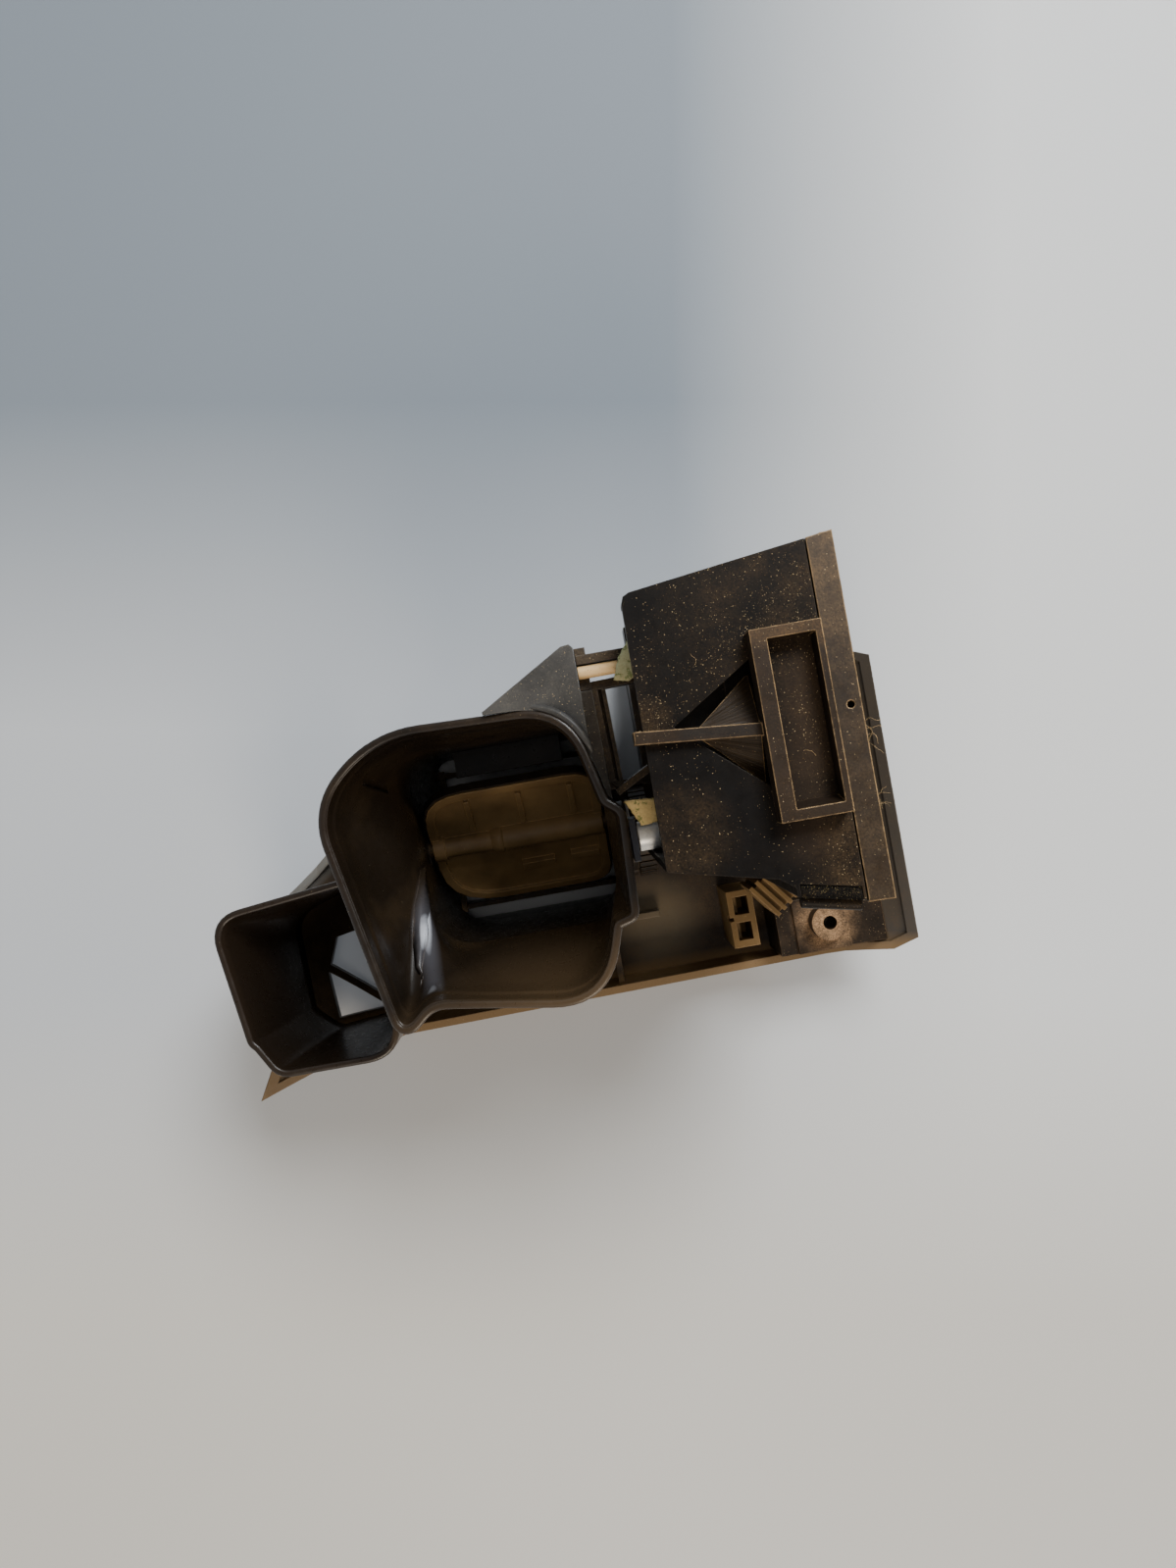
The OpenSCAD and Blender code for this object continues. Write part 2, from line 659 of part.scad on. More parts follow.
module clip_bracket() {
    out_l = 39.6;
    out_r = 51.8;
    low = 1.4;
    high = 34;
    z0 = case_top;
    z1 = case_top + pocket_h;
    rib_a = [18, 19.6];
    rib_b = [39.8, 17.5];
    color("#3a2e22") {
        difference() {
            block([out_l, low, z0], [out_r, high, z1]);
            // The lower inner face of the pocket slopes
            hull() {
                block([out_l + 2.8, low + 1.9, z1], [out_r - 1.2, high - 1.9, z1 + 1]);
                block([out_l + 2.8, low + 3.3, z0 - 1], [out_r - 1.2, high - 1.9, z0]);
            }
        }
        bar(rib_a, rib_b, 2.2, z0 + eps, z0 + 2.2);
        bar([29, 18.55], rib_b, 1.6, z0 - 7, z0 + 0.5);
        // Hook over the free edge of the back panel
        block([18, 18.5, z0 - 4], [19.3, 20.7, z0 + 2]);
        // Sloping webs on both sides of the rib
        for (side = [[39.5, 27], [39.5, 8.8]])
            hull() {
                translate([28.4, 18.4, z0 - 1]) cube([0.4, 0.6, 1.4]);
                translate([39.2, 17.7, z0 - 1]) cube([0.4, 0.6, 1.4]);
                translate([side[0] - 0.3, side[1] - 0.3, z0 - 6]) cube([0.4, 0.6, 1.4]);
            }
    }
}

module end_cover() {
    x0 = 52.7;
    x1 = 57.3;
    low = -14.7;
    high = 49;
    color("#43362a") difference() {
        union() {
            translate([0, 0, case_top - 2.4]) linear_extrude(2.4)
                polygon([[x0, low + 0.2], [x1, low], [x1, high], [x0, high - 0.6]]);
            block([x1 - 2, low, 30], [x1, high, case_top - 1]);
            for (z = [44, 96])
                rod_along_x(3.2, x0, x1 - 1, 14, z);
            block([x0, low, 30], [x1, low + 1.6, case_top - 1]);
            block([x0, high - 2.2, 30], [x1, high - 0.6, case_top - 1]);
        }
        translate([55.4, 19.1, case_top - 10]) cylinder(r = 0.65, h = 20);
        for (z = [44, 96]) {
            rod_along_x(1.35, x0 - 1, x1 + 1, 14, z);
            rod_along_x(2.5, x1 - 1.4, x1 + 1, 14, z);
        }
    }
}

module cover_screws() {
    color("#8d8a84") for (z = [44, 96])
        translate([57.3 - 1.4, 14, z]) rotate([0, 90, 0]) screw(1.05, 7, 2.2, 1.3);
}

// ---------- opener button ----------

module opener_button() {
    color("#2a2622") translate([button_mid[0], button_mid[1], 0]) difference() {
        union() {
            block([-button_w / 2, -button_d / 2, 0.6], [button_w / 2, button_d / 2, 6]);
            block([-button_w / 2 - 1.6, -button_d / 2 + 2, 4.2], [button_w / 2 + 1.6, button_d / 2 - 2, 6]);
            translate([0, 0, 5]) cylinder(r = 2.4, h = 23.2);
        }
        for (y = [-6, -3, 0, 3, 6])
            block([-6, y - 0.4, 0], [6, y + 0.4, 1]);
    }
}

// Fixed bridge over the button that guides its plunger
module button_guide() {
    color("#1b1815") above_face() translate([button_mid[0], button_mid[1], 0]) difference() {
        union() {
            block([-11.8, -5, 15], [11.8, 5, 17]);
            for (s = [-1, 1])
                block([s * 10.9 - 0.9, -5, 1], [s * 10.9 + 0.9, 5, 16]);
            translate([0, 0, 12]) cylinder(r = 5.6, h = 4);
        }
        translate([0, 0, 10]) cylinder(r = 2.4 + fit, h = 12);
        translate([0, 0, 11]) cylinder(r = 4.6, h = 2.6);
    }
}

module button_spring() {
    color("#b9b6ae") translate([button_mid[0], button_mid[1], 6]) difference() {
        cylinder(r = 3.9, h = 7.6);
        translate([0, 0, -1]) cylinder(r = 3, h = 10);
    }
}

// ---------- remote transmitter ----------

module remote_shell(x0, x1, open_low) {
    difference() {
        block([x0, remote_y[0], remote_z[0]], [x1, remote_y[1], remote_z[1]]);
        block([open_low ? x0 - 1 : x0 + remote_wall, remote_y[0] + remote_wall, remote_z[0] + remote_wall],
            [open_low ? x1 - remote_wall : x1 + 1, remote_y[1] - remote_wall, remote_z[1] - remote_wall]);
        translate([button_mid[0] - 1.5, button_mid[1], remote_z[0] - 1]) cylinder(r = 4.2, h = 4);
    }
}

module remote_front() {
    color("#2a2725") remote_shell(remote_x[0], remote_split, false);
}

module remote_back() {
    color("#272422") remote_shell(remote_split, remote_x[1], true);
}

module remote_board() {
    color("#1d5a34") difference() {
        block([39.5, 5.2, 43], [41.1, 35.4, 108]);
        rod_along_x(1.2, 35, 45, 9, 104);
        rod_along_x(1.2, 35, 45, 33, 104);
    }
}

module remote_chip() {
    color("#151515") {
        block([37, 17, 76], [39.5, 24, 96]);
        for (z = [78 : 2.5 : 94])
            block([38.6, 15.6, z], [39.5, 25.4, z + 0.8]);
    }
}

module remote_battery() {
    color("#2b2b2e") block([28, 7, 46], [36.8, 23.4, 72]);
    color("#b9b6ae") for (y = [11.5, 18.9])
        translate([32.4, y, 72]) cylinder(r = 2.6, h = 2.2);
}

module battery_snap() {
    color("#141414") block([28.6, 7.4, 74.3], [36.4, 23, 76]);
}

module remote_coil() {
    color("#b0713a") translate([37, 30.3, 84]) rotate([0, 90, 0]) difference() {
        cylinder(r = 4.6, h = 2.4);
        translate([0, 0, -1]) cylinder(r = 2.8, h = 5);
    }
}

module code_switches() {
    color("#a52a22") block([36.4, 9, 82], [39.5, 14.6, 102]);
    color("white") for (k = [0 : 7])
        block([35.7, 10.6 + 1.2 * (k % 2), 83.2 + 2.4 * k], [36.4, 12.4 + 1.2 * (k % 2), 84.4 + 2.4 * k]);
}

module remote_button() {
    color("#3a3632") translate([button_mid[0] - 1.5, button_mid[1], 0]) {
        translate([0, 0, 28.6]) cylinder(r = 3.9, h = 6);
        translate([0, 0, 33.9]) cylinder(r = 5.2, h = 1.2);
        translate([2, 0, 35]) cylinder(r = 1.4, h = 6);
    }
}

// ---------- small parts ----------

module felt_pad_upper() {
    color("#b3a268") translate([0, 0, 99.4]) linear_extrude(1.6)
        polygon([[17, 31.9], [20, 31.3], [24.6, 33], [24.6, 40], [21.2, 39.6], [18.6, 36.4]]);
}

module felt_pad_lower() {
    color("#b39a62") translate([0, 0, 94.6]) linear_extrude(1.6)
        polygon([[15, 9.2], [17.8, 3.4], [24.2, 4], [24.2, 8.6]]);
}

module lamp_sleeve() {
    color("#c3c4c6") difference() {
        rod_along_x(3, 17.2, lamp_end, lamp_y, lamp_z);
        rod_along_x(2.4, 16, lamp_end - 1.2, lamp_y, lamp_z);
    }
}

module lamp_bulb() {
    color("#dfe6ea") {
        rod_along_x(2.2, 19.6, lamp_end - 1.2, lamp_y, lamp_z);
        translate([19.6, lamp_y, lamp_z]) sphere(r = 2.2);
    }
}

// Saddle on the case's lower wall that carries the lamp's sleeve
module lamp_holder() {
    color("#2b2723") difference() {
        block([20, -3.6, 78], [24.2, 3.8, lamp_z - 1]);
        rod_along_x(3.02, 16, 26, lamp_y, lamp_z);
        translate([0, 0, 77]) linear_extrude(12) polygon([[18, -9], [30, -9], [30, lower_wall_y(30)], [18, lower_wall_y(18)]]);
    }
}

// Plate that shades the lamp from the duct, on an arm beside the holder
module lamp_shade() {
    color("#4c5360") {
        block([15.6, -3.4, 76], [16.8, 5.2, 92]);
        block([16.7, 3.95, 78], [24.2, 5.2, 86]);
    }
}

module clip_tower() {
    x0 = 38.8;
    x1 = 45.4;
    y0 = -34.6;
    y1 = -20;
    color("#54401f") above_face() difference() {
        block([x0, y0, 1], [x1, y1, 24]);
        for (y = [y0 + 1.8, y0 + 8.4])
            block([x0 + 1.4, y, 9], [x1 - 1.4, y + 4.6, 25]);
        block([x0 - 1, y0 + 6.9, 18], [x0 + 1, y0 + 7.9, 25]);
    }
}

module tower_clip() {
    color("#a9a59b") {
        block([40.4, -32.6, 9.2], [41.4, -28.4, 21]);
        block([40.4, -26, 9.2], [41.4, -21.8, 21]);
    }
}

module at_connector() {
    translate([47.6, -19.2, 30]) rotate([0, 0, 38]) children();
}

module connector_body() {
    color("#5a4526") {
        at_connector() {
            difference() {
                block([-3.6, -4, 0], [3.6, 4, 18.4]);
                block([-2.2, -2.8, -1], [2.2, 2.8, 9]);
            }
            for (x = [-3, -1, 1, 3])
                block([x - 0.5, -4.4, 2], [x + 0.5, 5, 20]);
        }
        bar([43, -12.95], [51.4, -14.7], 1, 30, 48);
    }
}

module connector_pins() {
    color("#c2a24c") at_connector()
        for (y = [-1.4, 1.4])
            block([-0.4, y - 0.4, 2], [0.4, y + 0.4, 9]);
}

face_bezel();
mount_bracket();
outlet_frame();
damper_barrel();
main_duct();
side_duct();
duct_ear();
bridge_frame();
cross_rod();
damper_bushes();
damper_plate();
damper_seal();
damper_shaft();
damper_lever();
link_rod();
thumbwheel();
wheel_axle();
wheel_cheeks();
vane(1);  // vane_1
vane(2);  // vane_2
vane(3);  // vane_3
vane(4);  // vane_4
vane(5);  // vane_5
vane_knob();
vane_link();
opener_case();
clip_bracket();
end_cover();
case_seal();
case_screws();
cover_screws();
opener_button();
button_guide();
button_spring();
remote_front();
remote_back();
remote_board();
remote_chip();
remote_battery();
battery_snap();
remote_coil();
code_switches();
remote_button();
felt_pad_upper();
felt_pad_lower();
lamp_sleeve();
lamp_bulb();
lamp_holder();
lamp_shade();
clip_tower();
tower_clip();
connector_body();
connector_pins();
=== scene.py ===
"""Looks of the console module that carries the garage door opener.

It holds the materials for every CAD node, smooth duct skins, a coiled spring, soft pads and strip, the floor,
the light and the camera. Shapes and zones are in millimetres; lights and the camera are in metres.
"""

import json
import math
import random

import bpy
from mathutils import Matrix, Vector


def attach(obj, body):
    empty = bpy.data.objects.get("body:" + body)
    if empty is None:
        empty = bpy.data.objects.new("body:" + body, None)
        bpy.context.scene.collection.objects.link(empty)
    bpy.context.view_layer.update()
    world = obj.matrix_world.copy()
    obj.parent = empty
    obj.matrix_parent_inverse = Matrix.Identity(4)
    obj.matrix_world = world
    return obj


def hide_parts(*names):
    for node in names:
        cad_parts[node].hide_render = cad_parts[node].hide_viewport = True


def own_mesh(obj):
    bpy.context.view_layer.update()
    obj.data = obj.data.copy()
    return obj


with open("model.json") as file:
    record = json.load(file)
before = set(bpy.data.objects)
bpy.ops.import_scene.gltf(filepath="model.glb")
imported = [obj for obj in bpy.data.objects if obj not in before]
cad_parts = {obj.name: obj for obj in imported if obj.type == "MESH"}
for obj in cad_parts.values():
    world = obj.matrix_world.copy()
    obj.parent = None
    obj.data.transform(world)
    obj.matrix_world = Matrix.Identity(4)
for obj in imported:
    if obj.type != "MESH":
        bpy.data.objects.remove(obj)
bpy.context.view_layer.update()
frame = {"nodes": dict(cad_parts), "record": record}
scene = bpy.context.scene
rng = random.Random(11)
MM = 0.001


# ---------- node helpers ----------


def node(nt, kind, inputs=None, **props):
    """A new shader node. An input that is a socket is linked, anything else becomes its value."""
    n = nt.nodes.new("ShaderNode" + kind)
    for key, value in props.items():
        setattr(n, key, value)
    for key, value in (inputs or {}).items():
        if isinstance(value, bpy.types.NodeSocket):
            nt.links.new(value, n.inputs[key])
        else:
            n.inputs[key].default_value = value
    return n


def calc(nt, op, a, b=0.0, clamp=False):
    return node(nt, "Math", {0: a, 1: b}, operation=op, use_clamp=clamp).outputs[0]


def ramp(nt, value, low, high, to_low=0.0, to_high=1.0):
    """value from low..high taken to to_low..to_high, and held there outside it."""
    return node(nt, "MapRange", {"Value": value, "From Min": low, "From Max": high, "To Min": to_low,
                                 "To Max": to_high}, clamp=True).outputs["Result"]


def mix(nt, share, a, b):
    return node(nt, "Mix", {0: share, 6: a, 7: b}, data_type="RGBA").outputs[2]


def noise(nt, at, scale, detail=3.0, rough=0.55):
    settings = {"Vector": at, "Scale": scale, "Detail": detail, "Roughness": rough}
    return node(nt, "TexNoise", settings).outputs["Fac"]


def stretched(nt, at, turn, scale):
    """at turned about Z by turn degrees and scaled unevenly, for lines."""
    return node(nt, "Mapping", {"Vector": at, "Rotation": (0, 0, math.radians(turn)), "Scale": scale},
                vector_type="TEXTURE").outputs["Vector"]


def axis_of(nt, at, axis):
    """How far at lies along axis."""
    return node(nt, "VectorMath", {0: at, 1: axis}, operation="DOT_PRODUCT").outputs["Value"]


def srgb(r, g, b):
    """A linear colour from 0 to 255 display values."""
    def lin(c):
        c /= 255
        return c / 12.92 if c <= 0.04045 else ((c + 0.055) / 1.055) ** 2.4
    return (lin(r), lin(g), lin(b), 1.0)


def times(colour, k):
    return (colour[0] * k, colour[1] * k, colour[2] * k, 1.0)


DUST = srgb(150, 122, 84)
DUST_PALE = srgb(214, 186, 140)
# Edge tone: partly wear, partly painted highlight on rounded edges
WEAR_AND_HIGHLIGHT_TONE = srgb(150, 118, 82)
BALL_CORE = 0.35  # share of a ball zone's radius that has the full effect
LINE_CORE = 0.2  # the same for the width of a line zone
LINE_OVERSHOOT = 0.05  # how far a line zone reaches past its ends, as a share of its length
LINE_FADE = 0.12  # the stretch at each end where a line zone fades in
# Noise scales, from broad mottling to fine grit, in cycles per metre
MOTTLE, PATCHES, CLUMPS, FINE, GRIT = 70, 160, 210, 620, 2900
SPECK_CELLS = 5000
SPECK_LOW, SPECK_HIGH = 0.13, 0.46  # smallest and largest speck, as a share of its cell
BUMP_DEPTH = 0.00003
SCRATCH_DEPTH = 0.3
BEVEL_SAMPLES = 4


def material(name):
    """An empty material: its shader and the object position and normal sockets come back with it."""
    mat = bpy.data.materials.new(name)
    mat.use_nodes = True
    nt = mat.node_tree
    nt.nodes.clear()
    out = node(nt, "OutputMaterial")
    shader = node(nt, "BsdfPrincipled")
    nt.links.new(shader.outputs[0], out.inputs[0])
    at = node(nt, "TexCoord").outputs
    return mat, nt, shader, at["Object"], at["Normal"]


def zone_share(nt, at, zone):
    """How much a point belongs to a zone, 0 to 1, with soft edges. A zone is ("ball", centre, radius),
    ("line", end, end, radius) or ("side", direction, from, to), all in millimetres, or
    ("patches", noise scale, from, to)."""
    kind, a, b = zone[:3]
    last = zone[-1]
    if kind == "ball":
        gap = node(nt, "VectorMath", {0: at, 1: [c * MM for c in a]}, operation="DISTANCE").outputs["Value"]
        return ramp(nt, gap, b * MM, b * BALL_CORE * MM)
    if kind == "line":
        along = (Vector(b) - Vector(a)).normalized()
        rel = node(nt, "VectorMath", {0: at, 1: [c * MM for c in a]}, operation="SUBTRACT").outputs[0]
        off = node(nt, "VectorMath", {0: rel, 1: along}, operation="CROSS_PRODUCT").outputs[0]
        gap = node(nt, "VectorMath", {0: off}, operation="LENGTH").outputs["Value"]
        far = math.dist(a, b) * MM
        reach = ramp(nt, axis_of(nt, rel, along), -far * LINE_OVERSHOOT, far * LINE_FADE)
        ends = ramp(nt, axis_of(nt, rel, along), far * (1 + LINE_OVERSHOOT), far * (1 - LINE_FADE))
        near = ramp(nt, gap, last * MM, last * LINE_CORE * MM)
        return calc(nt, "MULTIPLY", near, calc(nt, "MULTIPLY", reach, ends))
    if kind == "patches":
        return ramp(nt, noise(nt, at, a, 3, 0.6), b, last)
    return ramp(nt, axis_of(nt, at, a), b * MM, last * MM)


def dust_specks(nt, at, specks, up):
    """Small dots of dust in clumps: their mask, and a random share for their tone."""
    clumps = ramp(nt, noise(nt, at, CLUMPS, 3, 0.7), 0.36, 0.64, 0.15, 1.2)
    crowd = calc(nt, "MULTIPLY", specks, clumps)
    cells = node(nt, "TexVoronoi", {"Vector": at, "Scale": SPECK_CELLS})
    odds = node(nt, "SeparateColor", {0: cells.outputs["Color"]})
    small = calc(nt, "POWER", odds.outputs[0], 2.0)
    size = ramp(nt, small, 0.0, 1.0, SPECK_LOW, SPECK_HIGH)
    dot = ramp(nt, calc(nt, "SUBTRACT", size, cells.outputs["Distance"]), 0.0, 0.12)
    shown = calc(nt, "LESS_THAN", odds.outputs[1], crowd)
    return calc(nt, "MULTIPLY", calc(nt, "MULTIPLY", dot, shown), up), odds.outputs[2]


def scratches(nt, at, depth):
    """Two sets of long thin lines that cross, as a mask up to depth."""
    hair_a = noise(nt, stretched(nt, at, 24, (0.02, 0.0007, 0.0007)), 1.0, 2)
    hair_b = noise(nt, stretched(nt, at, -58, (0.016, 0.0006, 0.0006)), 1.0, 2)
    marks = calc(nt, "ADD", ramp(nt, hair_a, 0.66, 0.74), ramp(nt, hair_b, 0.68, 0.76), clamp=True)
    return calc(nt, "MULTIPLY", marks, depth)


def summed(nt, parts, clamp=False):
    """The sum of each (mask, weight) pair's product."""
    total = calc(nt, "MULTIPLY", *parts[0])
    for mask, weight in parts[1:]:
        total = calc(nt, "ADD", total, calc(nt, "MULTIPLY", mask, weight))
    return calc(nt, "ADD", total, 0.0, clamp=True) if clamp else total


def plastic(name, colour, rough=0.36, film=0.15, specks=0.25, edge_wear_and_highlight=0.35, wear_and_highlight_tone=WEAR_AND_HIGHLIGHT_TONE, grain=1.0, dust=DUST,
            edge=0.35, zones=(), tints=(), metallic=0.0, lines=None, coat=0.0, gloss=0.3, cloudy=0.3):
    """Moulded plastic or metal with mottling, fine grain, dust film and specks on what faces up, scratches
    and rounded edges in a paler tone that is partly wear and partly painted highlight. zones add
    (zone, film, specks) and tints mix in (zone, colour, share)."""
    mat, nt, shader, at, normal = material(name)
    facing = node(nt, "SeparateXYZ", {0: normal}).outputs["Z"]
    up = ramp(nt, facing, 0.15, 0.9, 0.12, 1.0)
    fine = noise(nt, at, FINE, 4)
    grit = noise(nt, at, GRIT, 2)
    clouds = ramp(nt, noise(nt, at, MOTTLE, 5), 0.36, 0.66)
    base = mix(nt, clouds, times(colour, 1 - cloudy), times(colour, 1 + cloudy))
    for zone, tint, share in tints:
        base = mix(nt, calc(nt, "MULTIPLY", zone_share(nt, at, zone), share), base, tint)
    strands = lines(nt, at) if lines else 0.0
    if lines:
        base = mix(nt, calc(nt, "MULTIPLY", strands, 0.4), base, times(wear_and_highlight_tone, 0.16))
    for zone, more_film, more_specks in zones:
        share = zone_share(nt, at, zone)
        film = node(nt, "Math", {0: share, 1: more_film, 2: film}, operation="MULTIPLY_ADD").outputs[0]
        specks = node(nt, "Math", {0: share, 1: more_specks, 2: specks}, operation="MULTIPLY_ADD").outputs[0]

    patch = ramp(nt, noise(nt, at, PATCHES, 5, 0.65), 0.38, 0.68, 0.25, 1.0)
    pepper = ramp(nt, grit, 0.36, 0.62, 0.45, 1.25)
    film_mask = calc(nt, "MULTIPLY", calc(nt, "MULTIPLY", calc(nt, "MULTIPLY", film, patch), pepper), up)
    speck, speck_odds = dust_specks(nt, at, specks, up)
    rounded = node(nt, "Bevel", {"Radius": edge * MM}, samples=BEVEL_SAMPLES).outputs[0]
    true_normal = node(nt, "NewGeometry").outputs["Normal"]
    bend = node(nt, "VectorMath", {0: rounded, 1: true_normal}, operation="DOT_PRODUCT").outputs["Value"]
    # Rounded edges take a paler tone: partly real wear and partly a painted highlight
    worn_and_highlit_edges = calc(nt, "MULTIPLY", ramp(nt, bend, 0.995, 0.88), ramp(nt, fine, 0.34, 0.6, 0.3, 1.0))
    base = mix(nt, film_mask, base, dust)
    base = mix(nt, calc(nt, "MULTIPLY", worn_and_highlit_edges, edge_wear_and_highlight), base, wear_and_highlight_tone)
    speck_tone = mix(nt, calc(nt, "POWER", speck_odds, 4.0), times(dust, 0.5), DUST_PALE)
    base = mix(nt, speck, base, speck_tone)
    nt.links.new(base, shader.inputs["Base Color"])

    marks = scratches(nt, at, SCRATCH_DEPTH)
    plain = ramp(nt, fine, 0.25, 0.75, rough - 0.07, rough + 0.09)
    duller = summed(nt, [(plain, 1.0), (film_mask, 0.45), (speck, 0.4), (marks, 0.14)], clamp=True)
    nt.links.new(duller, shader.inputs["Roughness"])
    height = summed(nt, [(grit, 0.5 * grain), (fine, 0.45 * grain), (speck, 1.6), (marks, -0.5),
                         (strands, 2.4)])
    bump = node(nt, "Bump", {"Height": height, "Distance": BUMP_DEPTH, "Strength": 0.8, "Normal": rounded})
    nt.links.new(bump.outputs[0], shader.inputs["Normal"])
    shader.inputs["Metallic"].default_value = metallic
    shader.inputs["Specular IOR Level"].default_value = gloss
    if coat:
        shader.inputs["Coat Weight"].default_value = coat
        shader.inputs["Coat Roughness"].default_value = 0.12
    return mat


# Where the V-shaped webs of the clip bracket meet, and the height that they rise to
FAN_POINT = (26.2, 18.7, 0)
FAN_RIDGES = 70.0  # noise cells per radian
WEB_TOP = 125


def fan_lines(nt, at):
    """Fine ridges on the webs, which fan out from the point of the V."""
    rel = node(nt, "VectorMath", {0: at, 1: [c * MM for c in FAN_POINT]}, operation="SUBTRACT").outputs[0]
    parts = node(nt, "SeparateXYZ", {0: rel}).outputs
    angle = calc(nt, "ARCTAN2", parts["Y"], parts["X"])
    low = ramp(nt, axis_of(nt, at, (0, 0, 1)), (WEB_TOP + 0.05) * MM, (WEB_TOP - 0.1) * MM)
    fan = node(nt, "CombineXYZ", {"X": calc(nt, "MULTIPLY", angle, FAN_RIDGES)}).outputs[0]
    strands = noise(nt, fan, 1.0, 2)
    return calc(nt, "MULTIPLY", ramp(nt, strands, 0.4, 0.62), low)


# ---------- materials, one for each of the record's slots ----------

BLACK = srgb(30, 26, 22)
TAN = srgb(206, 168, 118)
